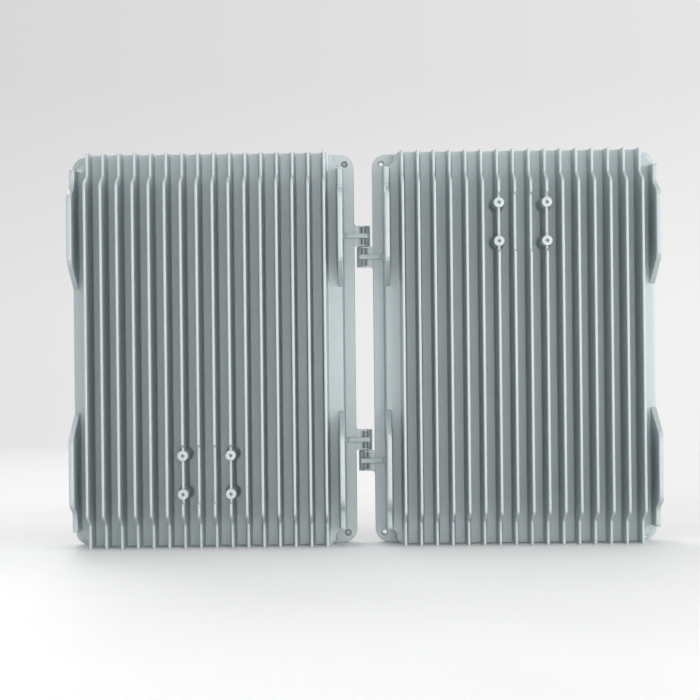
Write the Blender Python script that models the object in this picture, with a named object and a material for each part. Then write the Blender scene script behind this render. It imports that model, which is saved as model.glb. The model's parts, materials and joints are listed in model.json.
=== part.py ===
"""Clamshell string inverter: two identical finned die castings joined by two pin hinges.

The unit stands upright and is open flat. The base half lies on +X and the lid half on -X, both with
their fins towards -Y. The lid turns about the vertical hinge axis and closes against the back of the base.

Each half is drawn once in its own half frame, whose origin is on the hinge axis at mid height:
  x  away from the hinge axis
  y  minus is towards the fins, zero is the plane where the two halves meet
  z  along the hinge axis
The base uses that frame as it is. The lid is the same casting turned half a turn about y.
All lengths are in metres.
"""

import math

import bmesh
import bpy
from mathutils import Vector

# ---------------------------------------------------------------- driving dimensions
FIN_PITCH = 0.017
FIN_COUNT = 16
FIRST_FIN = 0.042            # hinge axis to the first fin's middle plane
HALF_HEIGHT = 0.213          # mid height to an end wall's outer face

FLANGE_HINGE_EDGE = 0.010    # hinge axis to the flange's near edge
FLANGE_OUTER_EDGE = 0.3195
FLANGE_CORNER = 0.015
WALL_HINGE = 0.022           # outer faces of the side walls
WALL_OUTER = 0.316
CORNER_CUT_HINGE = (0.0165, 0.013)   # corner cuts of the walls, across and along
CORNER_CUT_OUTER = (0.0155, 0.019)

CAVITY_HINGE = 0.027         # inner faces of the side walls
CAVITY_OUTER = 0.3105
CAVITY_END = 0.2045          # mid height to an end wall's inner face
CAVITY_TO_SCREW = 0.0125     # corner screw axis to the cavity's cut corner
SEAL_HINGE = 0.023           # middle line of the seal's groove
SEAL_OUTER = 0.3145
SEAL_END = 0.2085
SEAL_TO_SCREW = 0.0075

# Levels along y, from the sealing face forwards to the highest piece of the casting
SEALING_FACE = -0.0005
FLANGE_FRONT = -0.008
CAVITY_FLOOR = -0.028
ROOF = -0.032
FIN_HIGH = 0.047             # heights above the roof
FIN_LOW = 0.0236
FIN_POCKET = 0.0425
GUARD_HIGH = 0.0505
GUARD_LOW = 0.026
BOSS_HEIGHT = 0.0468

HINGE_RADIUS = 0.0075
HINGE_MIDDLE = 0.112         # mid height to the gap between a hinge's two knuckles
KNUCKLE_LENGTH = 0.0224
KNUCKLE_GAP = 0.0008
PIN_RADIUS = 0.0025
RUNNING_CLEARANCE = 0.0002
GAP = 0.0003                 # left between neighbouring solids that touch on the real object

# The hinge axis stands where the open unit's box is centred on the origin, front to back
DEPTH_IN_FRONT = -ROOF + GUARD_HIGH
HINGE_Y = (DEPTH_IN_FRONT - HINGE_RADIUS) / 2

# ---------------------------------------------------------------- casting details
FIN_TIP_THICKNESS = 0.0028
FIN_ROOT_THICKNESS = 0.0050
FIN_LOW_FROM = 0.187         # a fin is low from here to the end wall, and high inside FIN_HIGH_TO
FIN_HIGH_TO = 0.1775
POCKET_FINS = range(6, 10)
POCKET = (0.101, 0.104, 0.1615, 0.1645)
SINK = 0.001                 # how far a fused piece reaches into the one it stands on

GUARD_THICKNESS = 0.006
GUARD_PROFILE = (            # along z and above the roof, from the corner towards mid height
    (0.195, -SINK),
    (0.195, GUARD_LOW - 0.003),
    (0.192, GUARD_LOW),
    (0.174, GUARD_LOW),
    (0.165, GUARD_HIGH),
    (0.097, GUARD_HIGH),
    (0.093, GUARD_HIGH - 0.003),
    (0.067, -SINK),
)

BOSS_FINS = (6, 9)
BOSS_HEIGHTS = (0.1125, 0.1535)
BOSS_TOP_RADIUS = 0.0055
BOSS_ROOT_RADIUS = 0.0066
BOSS_HOLE_RADIUS = 0.00165
BOSS_HOLE_DEPTH = 0.012

SCREW_INSET = 0.0101         # corner screw to the flange's side edge
SCREW_HEIGHT = 0.2023
SCREW_RECESS_RADIUS = 0.0034
SCREW_HOLE_RADIUS = 0.0027
HINGE_RELIEF = (0.0235, 0.2065, 0.0092)   # the round pocket in a wall's corner: x, z and radius
OUTER_RELIEF = (0.3094, 0.2023, 0.0072)
RECESS_FLOOR = FLANGE_FRONT + 0.0050

GROOVE_DEPTH = 0.002
GROOVE_HALF_WIDTH = 0.0016
GASKET_HALF_WIDTH = 0.0013
GASKET_BACK = 0.0002

POST_RADIUS = 0.0045
POST_TOP = -0.0233
POST_HOLE_RADIUS = 0.0021
POST_HOLE_FLOOR = -0.0295
POSTS = (
    (0.044, -0.140), (0.169, -0.140), (0.294, -0.140),
    (0.044, 0.020), (0.294, 0.020),
    (0.050, 0.180), (0.169, 0.190), (0.282, 0.178),
)
LOWER_POSTS = POSTS[:5]

PORT_RADIUS = 0.010
PORT_DEPTH_CENTRE = -0.0160
PORTS = (0.070, 0.169, 0.268)

# ---------------------------------------------------------------- boards and what they carry
BOARD_THICKNESS = 0.0016
BOARD_BACK = POST_TOP + GAP + BOARD_THICKNESS   # the face that carries the parts
BOARD_HOLE_RADIUS = 0.0023
BOARD_SIDES = (0.034, 0.304)
BOARD_LOW = -0.150
POWER_BOARD_HIGH = 0.196
CONTROL_BOARD_HIGH = 0.032
ON_BOARD = BOARD_BACK + GAP
ON_CASTING = CAVITY_FLOOR + GAP

# Blocks are (along x, height, along z), and places are (x, z)
MODULE_SIZE = (0.062, POST_TOP - CAVITY_FLOOR - GAP, 0.040)
MODULE_PLACES = ((0.090, 0.085), (0.169, 0.085), (0.248, 0.085))
CAPACITOR_SIZE = (0.034, 0.0195, 0.058)
CAPACITOR_COUNT = 6
CAPACITOR_FIRST = (0.0715, 0.140)
CAPACITOR_STEP = 0.039
FILTER_CHOKE = (0.025, 0.011, 0.018)     # outer radius, inner radius, height
FILTER_CHOKE_PLACES = ((0.066, 0.060), (0.272, 0.060))
COMMON_CHOKE = (0.029, 0.013, 0.019)
COMMON_CHOKE_PLACE = (0.169, 0.055)
RELAY_SIZE = (0.032, 0.017, 0.042)
RELAY_COUNT = 4
RELAY_FIRST = (0.0985, -0.035)
RELAY_STEP = 0.047
ARRESTER_SIZE = (0.060, 0.0185, 0.036)
ARRESTER_PLACE = (0.088, -0.092)
SENSOR_SIZE = (0.048, 0.015, 0.034)
SENSOR_PLACE = (0.230, -0.092)
TERMINAL_DEPTH = 0.020
TERMINAL_HEIGHT = 0.0165
TERMINAL_ROW = -0.137

INDUCTOR_SIZE = (0.060, 0.0245, 0.086)
INDUCTOR_COUNT = 4
INDUCTOR_FIRST = (0.0715, 0.105)
INDUCTOR_STEP = 0.0652
SHIELD_SIZE = (0.062, 0.006, 0.050)
SHIELD_PLACE = (0.120, -0.060)
TRANSFORMER_SIZE = (0.038, 0.019, 0.042)
TRANSFORMER_PLACE = (0.235, -0.045)
RADIO_SIZE = (0.036, 0.0045, 0.026)
RADIO_PLACE = (0.070, 0.000)
CONNECTOR_SIZE = (0.070, 0.010, 0.012)
CONNECTOR_PLACE = (0.169, -0.118)
CAN_RADIUS = 0.0065
CAN_HEIGHT = 0.018
CAN_PLACES = ((0.200, 0.006), (0.218, 0.006), (0.236, 0.006))


# ---------------------------------------------------------------- materials
def principled(name, colour, metallic, roughness):
    """A plain Principled material."""
    material = bpy.data.materials.new(name)
    material.use_nodes = True
    shader = material.node_tree.nodes["Principled BSDF"]
    shader.inputs["Base Color"].default_value = (*colour, 1.0)
    shader.inputs["Metallic"].default_value = metallic
    shader.inputs["Roughness"].default_value = roughness
    return material


# ---------------------------------------------------------------- mesh helpers
def clear_scene():
    for obj in list(bpy.data.objects):
        bpy.data.objects.remove(obj)


def loft(bm, rings):
    """A closed body skinned over rings of equally many points, with flat ends."""
    loops = [[bm.verts.new(point) for point in ring] for ring in rings]
    count = len(loops[0])
    for lower, upper in zip(loops, loops[1:]):
        for i in range(count):
            j = (i + 1) % count
            bm.faces.new((lower[i], lower[j], upper[j], upper[i]))
    bm.faces.new(list(reversed(loops[0])))
    bm.faces.new(loops[-1])


def prism_y(bm, outline, start, end):
    """An (x, z) outline pushed along y."""
    loft(bm, [[Vector((x, y, z)) for x, z in outline] for y in (start, end)])


def prism_z(bm, outline, start, end):
    """An (x, y) outline pushed along z."""
    loft(bm, [[Vector((x, y, z)) for x, y in outline] for z in (start, end)])


def box(bm, low, high):
    outline = [(low[0], low[2]), (high[0], low[2]), (high[0], high[2]), (low[0], high[2])]
    prism_y(bm, outline, low[1], high[1])


def arc(centre, radius, start, end, steps):
    """Points on an arc, both ends included; angles in degrees."""
    angles = [math.radians(start + (end - start) * i / steps) for i in range(steps + 1)]
    return [(centre[0] + radius * math.cos(a), centre[1] + radius * math.sin(a)) for a in angles]


def circle(centre, radius, sides):
    return arc(centre, radius, 0, 360, sides)[:-1]


def turned_y(bm, centre, profile, sides):
    """A body of revolution about an axis along y; profile is (radius, y) from one end to the other."""
    loft(bm, [[Vector((x, y, z)) for x, z in circle(centre, radius, sides)] for radius, y in profile])


def ring_y(bm, outer, inner, start, end):
    """A closed band between two outlines of equally many points, pushed along y."""
    corners = ((outer, start), (outer, end), (inner, end), (inner, start))
    loops = [[bm.verts.new((x, y, z)) for x, z in outline] for outline, y in corners]
    count = len(outer)
    for k in range(4):
        here, there = loops[k], loops[(k + 1) % 4]
        for i in range(count):
            j = (i + 1) % count
            bm.faces.new((here[i], here[j], there[j], there[i]))


def make_object(name, bm, material=None):
    """Turns a bmesh into a named object with its faces pointing out."""
    bmesh.ops.recalc_face_normals(bm, faces=bm.faces)
    mesh = bpy.data.meshes.new(name)
    bm.to_mesh(mesh)
    bm.free()
    obj = bpy.data.objects.new(name, mesh)
    bpy.context.scene.collection.objects.link(obj)
    if material:
        mesh.materials.append(material)
    return obj


def shade_round(obj, degrees=30):
    obj.data.shade_smooth()
    obj.data.set_sharp_from_angle(angle=math.radians(degrees))


def combine(target, tool_bm, operation):
    """Joins or cuts target with the bodies in tool_bm."""
    tool = make_object("tool", tool_bm)
    modifier = target.modifiers.new(operation.lower(), "BOOLEAN")
    modifier.operation = operation
    modifier.solver = "EXACT"
    modifier.object = tool
    evaluated = target.evaluated_get(bpy.context.evaluated_depsgraph_get())
    result = bpy.data.meshes.new_from_object(evaluated)
    target.modifiers.clear()
    target.data = result
    bpy.data.objects.remove(tool)


# ---------------------------------------------------------------- outlines of a half
def flange_outline():
    """The flange's edge, with rounded corners."""
    points = []
    for x_edge, z_sign, start in (
        (FLANGE_OUTER_EDGE, 1, 0),
        (FLANGE_HINGE_EDGE, 1, 90),
        (FLANGE_HINGE_EDGE, -1, 180),
        (FLANGE_OUTER_EDGE, -1, 270),
    ):
        inward = -1 if x_edge == FLANGE_OUTER_EDGE else 1
        centre = (x_edge + inward * FLANGE_CORNER, z_sign * (HALF_HEIGHT - FLANGE_CORNER))
        points += arc(centre, FLANGE_CORNER, start, start + 90, 6)
    return points


def wall_outline(inset):
    """The walls' outer faces; inset narrows the two sides and their corner cuts, not the ends."""
    left, right = WALL_HINGE + inset, WALL_OUTER - inset
    top = HALF_HEIGHT
    left_x, left_z = CORNER_CUT_HINGE
    right_x, right_z = CORNER_CUT_OUTER
    return [
        (right, right_z - top), (right, top - right_z), (right - right_x, top), (left + left_x, top),
        (left, top - left_z), (left, left_z - top), (left + left_x, -top), (right - right_x, -top),
    ]


def screw_places():
    """Corner screw axes as (x, z), hinge side first."""
    sides = (FLANGE_HINGE_EDGE + SCREW_INSET, FLANGE_OUTER_EDGE - SCREW_INSET)
    return [(x, z) for x in sides for z in (SCREW_HEIGHT, -SCREW_HEIGHT)]


def relief_circles():
    """The four round pockets that leave room for a driver at the corner screws."""
    circles = []
    for x, z, radius in (HINGE_RELIEF, OUTER_RELIEF):
        circles += [circle((x, sign * z), radius, 24) for sign in (1, -1)]
    return circles


def inner_outline(hinge_side, outer_side, end, screw_distance):
    """An eight-sided outline whose diagonals pass the corner screws at screw_distance."""
    reach = screw_distance * math.sqrt(2)
    screw_left = FLANGE_HINGE_EDGE + SCREW_INSET
    screw_right = FLANGE_OUTER_EDGE - SCREW_INSET
    left = screw_left - SCREW_HEIGHT + reach
    right = screw_right + SCREW_HEIGHT - reach
    corners = [
        (outer_side, right - outer_side), (right - end, end),
        (left + end, end), (hinge_side, hinge_side - left),
    ]
    return corners + [(x, -z) for x, z in reversed(corners)]


def cavity_outline():
    return inner_outline(CAVITY_HINGE, CAVITY_OUTER, CAVITY_END, CAVITY_TO_SCREW)


def gasket_outline(offset):
    """The gasket's middle line, moved outwards by offset."""
    sides = (SEAL_HINGE - offset, SEAL_OUTER + offset)
    return inner_outline(*sides, SEAL_END + offset, SEAL_TO_SCREW - offset)


def knuckle_places():
    """Each knuckle of a half, as the z range it holds."""
    upper = HINGE_MIDDLE - KNUCKLE_GAP / 2
    lower = -HINGE_MIDDLE - KNUCKLE_GAP / 2
    return [(upper - KNUCKLE_LENGTH, upper), (lower - KNUCKLE_LENGTH, lower)]


# ---------------------------------------------------------------- the casting
def fin_profile(has_pocket):
    """A fin's edge as (z, height above the roof), from one end wall to the other."""
    profile = [(-HALF_HEIGHT, FIN_LOW), (-FIN_LOW_FROM, FIN_LOW), (-FIN_HIGH_TO, FIN_HIGH)]
    if has_pocket:
        heights = (FIN_HIGH, FIN_POCKET, FIN_POCKET, FIN_HIGH)
        profile += list(zip(POCKET, heights))
    profile += [(FIN_HIGH_TO, FIN_HIGH), (FIN_LOW_FROM, FIN_LOW), (HALF_HEIGHT, FIN_LOW)]
    return [(-HALF_HEIGHT, -SINK)] + profile + [(HALF_HEIGHT, -SINK)]


def add_fin(bm, index):
    """One fin, thinner at its tip than at its root."""
    middle = FIRST_FIN + index * FIN_PITCH
    taper = (FIN_ROOT_THICKNESS - FIN_TIP_THICKNESS) / FIN_HIGH
    sides = []
    for side in (-1, 1):
        ring = []
        for z, height in fin_profile(index in POCKET_FINS):
            half = (FIN_ROOT_THICKNESS - taper * height) / 2
            ring.append(Vector((middle + side * half, ROOF - height, z)))
        sides.append(ring)
    loft(bm, sides)


def add_guards(bm):
    """The four guard plates that stand in line with the side walls, near the corners."""
    inner_gap = 0.0002
    sides = (
        (WALL_HINGE + inner_gap, WALL_HINGE + GUARD_THICKNESS),
        (WALL_OUTER - GUARD_THICKNESS, WALL_OUTER - inner_gap),
    )
    for low_x, high_x in sides:
        for sign in (1, -1):
            rings = []
            for x in (low_x, high_x):
                rings.append([Vector((x, ROOF - h, sign * z)) for z, h in GUARD_PROFILE])
            loft(bm, rings)


def boss_places():
    return [(FIRST_FIN + i * FIN_PITCH, z) for i in BOSS_FINS for z in BOSS_HEIGHTS]


def add_bosses(bm):
    profile = (
        (BOSS_ROOT_RADIUS, ROOF + SINK),
        (BOSS_TOP_RADIUS, ROOF - BOSS_HEIGHT + 0.0005),
        (BOSS_TOP_RADIUS - 0.0005, ROOF - BOSS_HEIGHT),
    )
    for place in boss_places():
        turned_y(bm, place, profile, 20)


def knuckle_outline():
    """A knuckle's section in (x, y): a round about the axis and an arm to the flange."""
    reach = FLANGE_HINGE_EDGE + SINK
    start = math.degrees(math.asin(SEALING_FACE / HINGE_RADIUS))
    outline = arc((0, 0), HINGE_RADIUS, start, 270, 18)
    return outline + [(reach, -HINGE_RADIUS), (reach, SEALING_FACE)]


def add_knuckles(bm):
    for low, high in knuckle_places():
        prism_z(bm, knuckle_outline(), low, high)


RIB_HALF_WIDTH = 0.0028
RIB_FRONT = -0.0105


def add_hinge_ribs(bm):
    """The rib that carries each knuckle's strap across the flange to the side wall."""
    for low, high in knuckle_places():
        middle = (low + high) / 2
        slope = (
            (-0.0068, -0.004), (0.0225, -0.004), (0.0225, RIB_FRONT - 0.003),
            (0.018, RIB_FRONT), (-0.0048, RIB_FRONT), (-0.0068, RIB_FRONT + 0.002),
        )
        prism_z(bm, slope, middle - RIB_HALF_WIDTH, middle + RIB_HALF_WIDTH)


def cut_hinge_windows(bm):
    """Openings that show the pin: in front beside the rib, and behind the rib."""
    half = 0.0045
    for low, high in knuckle_places():
        middle = (low + high) / 2
        front = (-0.012, 0.0)
        box(bm, (-half, front[0], middle + RIB_HALF_WIDTH), (half, front[1], high + SINK))
        box(bm, (-half, front[0], low - SINK), (half, front[1], middle - RIB_HALF_WIDTH))
        back = HINGE_RADIUS + SINK
        box(bm, (-half, 0.0006, middle - 0.0035), (half, back, middle + 0.0035))


def cut_pin_bores(bm):
    for low, high in knuckle_places():
        bore = circle((0, 0), PIN_RADIUS + RUNNING_CLEARANCE, 16)
        prism_z(bm, bore, low - SINK, high + SINK)


def cut_screw_holes(bm):
    profile = (
        (SCREW_HOLE_RADIUS, SEALING_FACE + SINK), (SCREW_HOLE_RADIUS, RECESS_FLOOR),
        (SCREW_RECESS_RADIUS, RECESS_FLOOR), (SCREW_RECESS_RADIUS, FLANGE_FRONT - SINK),
    )
    for place in screw_places():
        turned_y(bm, place, profile, 16)


def casting(name, material):
    """The whole finned half: flange, walls, roof, fins, guards, bosses, knuckles and posts."""
    bm = bmesh.new()
    prism_y(bm, flange_outline(), FLANGE_FRONT, SEALING_FACE)
    half = make_object(name, bm, material)

    bm = bmesh.new()
    levels = ((0.0, FLANGE_FRONT + SINK), (0.0008, ROOF + 0.0015), (0.0023, ROOF))
    loft(bm, [[Vector((x, y, z)) for x, z in wall_outline(inset)] for inset, y in levels])
    combine(half, bm, "UNION")

    bm = bmesh.new()
    for index in range(FIN_COUNT):
        add_fin(bm, index)
    combine(half, bm, "UNION")

    bm = bmesh.new()
    add_guards(bm)
    add_bosses(bm)
    add_knuckles(bm)
    combine(half, bm, "UNION")

    bm = bmesh.new()
    add_hinge_ribs(bm)
    combine(half, bm, "UNION")

    bm = bmesh.new()
    prism_y(bm, cavity_outline(), CAVITY_FLOOR, SINK)
    groove = (gasket_outline(GROOVE_HALF_WIDTH), gasket_outline(-GROOVE_HALF_WIDTH))
    ring_y(bm, *groove, SEALING_FACE - GROOVE_DEPTH, SINK)
    for outline in relief_circles():
        prism_y(bm, outline, ROOF - SINK, FLANGE_FRONT)
    for place in boss_places():
        top = ROOF - BOSS_HEIGHT
        prism_y(bm, circle(place, BOSS_HOLE_RADIUS, 10), top - SINK, top + BOSS_HOLE_DEPTH)
    cut_hinge_windows(bm)
    combine(half, bm, "DIFFERENCE")

    bm = bmesh.new()
    cut_screw_holes(bm)
    cut_pin_bores(bm)
    combine(half, bm, "DIFFERENCE")

    bm = bmesh.new()
    for place in POSTS:
        prism_y(bm, circle(place, POST_RADIUS, 14), CAVITY_FLOOR - 0.0005, POST_TOP)
    combine(half, bm, "UNION")

    bm = bmesh.new()
    for place in POSTS:
        prism_y(bm, circle(place, POST_HOLE_RADIUS, 10), POST_HOLE_FLOOR, POST_TOP + SINK)
    combine(half, bm, "DIFFERENCE")
    return half


def cut_cable_ports(half):
    """Three round cable entries through the base's lower end wall."""
    bm = bmesh.new()
    for x in PORTS:
        outline = circle((x, PORT_DEPTH_CENTRE), PORT_RADIUS, 20)
        prism_z(bm, outline, -HALF_HEIGHT - SINK, -CAVITY_END + SINK)
    combine(half, bm, "DIFFERENCE")


# ---------------------------------------------------------------- seals, pins and fasteners
def gasket(material):
    bm = bmesh.new()
    outer, inner = gasket_outline(GASKET_HALF_WIDTH), gasket_outline(-GASKET_HALF_WIDTH)
    ring_y(bm, outer, inner, SEALING_FACE - GROOVE_DEPTH + GAP, GASKET_BACK)
    return make_object("gasket", bm, material)


def hinge_pin(name, middle, material):
    """A plain pin with small chamfers, as long as the hinge's two knuckles."""
    half = KNUCKLE_LENGTH + KNUCKLE_GAP / 2 - GAP
    chamfer = 0.0006
    stations = (
        (PIN_RADIUS - chamfer, middle - half), (PIN_RADIUS, middle - half + chamfer),
        (PIN_RADIUS, middle + half - chamfer), (PIN_RADIUS - chamfer, middle + half),
    )
    bm = bmesh.new()
    loft(bm, [[Vector((x, y, z)) for x, y in circle((0, 0), r, 16)] for r, z in stations])
    pin = make_object(name, bm, material)
    shade_round(pin)
    return pin


def corner_screw(name, place, material):
    """A captive screw held back in its recess: a slim head and a shank through the flange."""
    head_radius, shank_radius = 0.0027, 0.0021
    profile = (
        (shank_radius, SEALING_FACE - GAP),
        (shank_radius, RECESS_FLOOR - GAP),
        (head_radius, RECESS_FLOOR - GAP),
        (head_radius, FLANGE_FRONT + 0.0012),
        (head_radius - 0.0004, FLANGE_FRONT + 0.0008),
    )
    bm = bmesh.new()
    turned_y(bm, place, profile, 14)
    screw = make_object(name, bm, material)
    shade_round(screw)
    return screw


def board_screw(name, place, seat, material):
    """A pan-head screw whose head sits on seat and whose shank ends inside the post."""
    shank, head, crown = 0.0016, 0.0036, 0.0026     # radii
    shank_end = POST_HOLE_FLOOR + SINK
    profile = (
        (shank, shank_end), (shank, seat + GAP), (head, seat + GAP),
        (head, seat + 0.0018), (crown, seat + 0.0026),
    )
    bm = bmesh.new()
    turned_y(bm, place, profile, 12)
    screw = make_object(name, bm, material)
    shade_round(screw)
    return screw


def port_plug(name, x, material):
    """A blanking plug, set just inside the end wall's outer face."""
    bm = bmesh.new()
    outline = circle((x, PORT_DEPTH_CENTRE), PORT_RADIUS - GAP, 20)
    prism_z(bm, outline, -HALF_HEIGHT + 0.0006, -CAVITY_END + 0.0005)
    plug = make_object(name, bm, material)
    shade_round(plug)
    return plug


# ---------------------------------------------------------------- boards
def board(name, z_high, corner, posts, material):
    """A circuit board with cut corners, resting on posts."""
    low, high = BOARD_SIDES
    outline = [
        (high, BOARD_LOW), (high, z_high - corner), (high - corner, z_high),
        (low + corner, z_high), (low, z_high - corner), (low, BOARD_LOW),
    ]
    bm = bmesh.new()
    prism_y(bm, outline, BOARD_BACK - BOARD_THICKNESS, BOARD_BACK)
    made = make_object(name, bm, material)
    bm = bmesh.new()
    for place in posts:
        start, end = BOARD_BACK - BOARD_THICKNESS - SINK, BOARD_BACK + SINK
        prism_y(bm, circle(place, BOARD_HOLE_RADIUS, 12), start, end)
    combine(made, bm, "DIFFERENCE")
    return made


def block(name, centre, size, base, material, corner=0.0015):
    """A moulded block standing on base, with its upright edges cut and its top edges sloped."""
    half_x, half_z = size[0] / 2, size[2] / 2
    rings = []
    for inset, y in ((0.0, base), (0.0, base + size[1] - corner), (corner * 0.7, base + size[1])):
        w, h = half_x - inset, half_z - inset
        outline = [
            (w, corner - h), (w, h - corner), (w - corner, h), (corner - w, h),
            (-w, h - corner), (-w, corner - h), (corner - w, -h), (w - corner, -h),
        ]
        rings.append([Vector((centre[0] + x, y, centre[1] + z)) for x, z in outline])
    bm = bmesh.new()
    loft(bm, rings)
    return make_object(name, bm, material)


def toroid(name, centre, size, base, material):
    """A wound ring core lying flat; size is its outer radius, inner radius and height."""
    outer, inner, height = size
    bm = bmesh.new()
    bevel = 0.002
    sides = 24
    section = (
        (outer - bevel, base), (outer, base + bevel), (outer, base + height - bevel),
        (outer - bevel, base + height), (inner + bevel, base + height),
        (inner, base + height - bevel), (inner, base + bevel), (inner + bevel, base),
    )
    loops = [[bm.verts.new((x, y, z)) for x, z in circle(centre, r, sides)] for r, y in section]
    for k, here in enumerate(loops):
        there = loops[(k + 1) % len(loops)]
        for i in range(sides):
            j = (i + 1) % sides
            bm.faces.new((here[i], here[j], there[j], there[i]))
    ring = make_object(name, bm, material)
    shade_round(ring, 50)
    return ring


def terminal_block(name, centre, width, ways, material):
    """A row of wire clamps: a block with one wire entry per way on its lower side."""
    size = (width, TERMINAL_HEIGHT, TERMINAL_DEPTH)
    made = block(name, (centre, TERMINAL_ROW), size, ON_BOARD, material, 0.001)
    step = width / ways
    bm = bmesh.new()
    low_z = TERMINAL_ROW - TERMINAL_DEPTH / 2
    for i in range(ways):
        x = centre - width / 2 + step * (i + 0.5)
        half = step * 0.32
        box(bm, (x - half, ON_BOARD + 0.003, low_z - SINK), (x + half, ON_BOARD + 0.011, low_z + 0.009))
    combine(made, bm, "DIFFERENCE")
    return made


# ---------------------------------------------------------------- placing
def put_on(parent, objects):
    for obj in objects:
        obj.parent = parent


def make_halves():
    """Two empties on the hinge axis; the lid's is turned half a turn about y."""
    centre = (0.0, HINGE_Y, HALF_HEIGHT)
    base = bpy.data.objects.new("base_frame", None)
    lid = bpy.data.objects.new("lid_hinge_axis", None)
    for empty in (base, lid):
        bpy.context.scene.collection.objects.link(empty)
        empty.location = centre
    lid.rotation_euler = (0.0, math.pi, 0.0)
    return base, lid


def base_parts(cast, rubber, steel, plastic, board_green, film, black, ceramic):
    """Everything that belongs to the base half."""
    housing = casting("base_housing", cast)
    cut_cable_ports(housing)
    parts = [housing, gasket(rubber)]
    for name, middle in (("hinge_pin_top", HINGE_MIDDLE), ("hinge_pin_bottom", -HINGE_MIDDLE)):
        parts.append(hinge_pin(name, middle, steel))
    for i, x in enumerate(PORTS, 1):
        parts.append(port_plug(f"port_plug_{i}", x, plastic))

    parts.append(board("power_board", POWER_BOARD_HIGH, 0.016, POSTS, board_green))
    for i, place in enumerate(POSTS, 1):
        parts.append(board_screw(f"power_board_screw_{i}", place, BOARD_BACK, steel))

    for i, place in enumerate(MODULE_PLACES, 1):
        parts.append(block(f"power_module_{i}", place, MODULE_SIZE, ON_CASTING, ceramic, 0.001))
    for i in range(CAPACITOR_COUNT):
        place = (CAPACITOR_FIRST[0] + i * CAPACITOR_STEP, CAPACITOR_FIRST[1])
        parts.append(block(f"dc_link_capacitor_{i + 1}", place, CAPACITOR_SIZE, ON_BOARD, film))
    for i, place in enumerate(FILTER_CHOKE_PLACES, 1):
        parts.append(toroid(f"filter_choke_{i}", place, FILTER_CHOKE, ON_BOARD, black))
    parts.append(toroid("common_mode_choke", COMMON_CHOKE_PLACE, COMMON_CHOKE, ON_BOARD, black))
    for i in range(RELAY_COUNT):
        place = (RELAY_FIRST[0] + i * RELAY_STEP, RELAY_FIRST[1])
        parts.append(block(f"grid_relay_{i + 1}", place, RELAY_SIZE, ON_BOARD, plastic))
    parts.append(block("surge_arrester", ARRESTER_PLACE, ARRESTER_SIZE, ON_BOARD, plastic))
    parts.append(block("current_sensor", SENSOR_PLACE, SENSOR_SIZE, ON_BOARD, black))
    parts.append(terminal_block("dc_terminal_block", 0.106, 0.090, 6, plastic))
    parts.append(terminal_block("ac_terminal_block", 0.231, 0.080, 5, plastic))
    return parts


def lid_parts(cast, steel, plastic, board_green, potting, black):
    """Everything that belongs to the lid half."""
    parts = [casting("lid_housing", cast)]
    for i, place in enumerate(screw_places(), 1):
        parts.append(corner_screw(f"corner_screw_{i}", place, steel))

    for i in range(INDUCTOR_COUNT):
        place = (INDUCTOR_FIRST[0] + i * INDUCTOR_STEP, INDUCTOR_FIRST[1])
        name = f"boost_inductor_{i + 1}"
        parts.append(block(name, place, INDUCTOR_SIZE, ON_CASTING, potting, 0.003))

    parts.append(board("control_board", CONTROL_BOARD_HIGH, 0.004, LOWER_POSTS, board_green))
    for i, place in enumerate(LOWER_POSTS, 1):
        parts.append(board_screw(f"control_board_screw_{i}", place, BOARD_BACK, steel))
    parts.append(block("processor_shield", SHIELD_PLACE, SHIELD_SIZE, ON_BOARD, steel, 0.001))
    parts.append(block("supply_transformer", TRANSFORMER_PLACE, TRANSFORMER_SIZE, ON_BOARD, black))
    parts.append(block("radio_module", RADIO_PLACE, RADIO_SIZE, ON_BOARD, steel, 0.0008))
    for i, place in enumerate(CAN_PLACES, 1):
        bm = bmesh.new()
        shoulder, top = ON_BOARD + CAN_HEIGHT - 0.0008, ON_BOARD + CAN_HEIGHT
        profile = ((CAN_RADIUS, ON_BOARD), (CAN_RADIUS, shoulder), (CAN_RADIUS - 0.0007, top))
        turned_y(bm, place, profile, 14)
        can = make_object(f"supply_capacitor_{i}", bm, black)
        shade_round(can)
        parts.append(can)
    parts.append(block("link_connector", CONNECTOR_PLACE, CONNECTOR_SIZE, ON_BOARD, plastic, 0.001))
    return parts


def main():
    clear_scene()
    cast = principled("cast_aluminium", (0.46, 0.51, 0.52), 0.55, 0.42)
    rubber = principled("seal_rubber", (0.03, 0.03, 0.032), 0.0, 0.75)
    steel = principled("bright_steel", (0.62, 0.63, 0.64), 1.0, 0.3)
    plastic = principled("grey_plastic", (0.20, 0.22, 0.23), 0.0, 0.5)
    board_green = principled("board_laminate", (0.02, 0.16, 0.09), 0.0, 0.4)
    film = principled("capacitor_case", (0.55, 0.50, 0.36), 0.0, 0.45)
    black = principled("black_resin", (0.03, 0.03, 0.035), 0.0, 0.5)
    potting = principled("inductor_can", (0.40, 0.42, 0.44), 0.8, 0.4)
    ceramic = principled("module_case", (0.75, 0.75, 0.72), 0.0, 0.5)

    base_frame, lid_hinge_axis = make_halves()
    put_on(base_frame, base_parts(cast, rubber, steel, plastic, board_green, film, black, ceramic))
    put_on(lid_hinge_axis, lid_parts(cast, steel, plastic, board_green, potting, black))


main()
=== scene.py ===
"""The looks of a clamshell string inverter that lies open, and of everything inside it.

Each half is modelled in its own half frame, whose origin is on the hinge axis at mid height:
  x  away from the hinge axis
  y  minus is towards the fins, zero is the plane where the two halves meet
  z  along the hinge axis
The base uses that frame as it is, and the lid is turned half a turn about y. Lengths are in metres.
"""

import json
import math
import random

import bmesh
import bpy
from mathutils import Matrix, Vector


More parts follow.
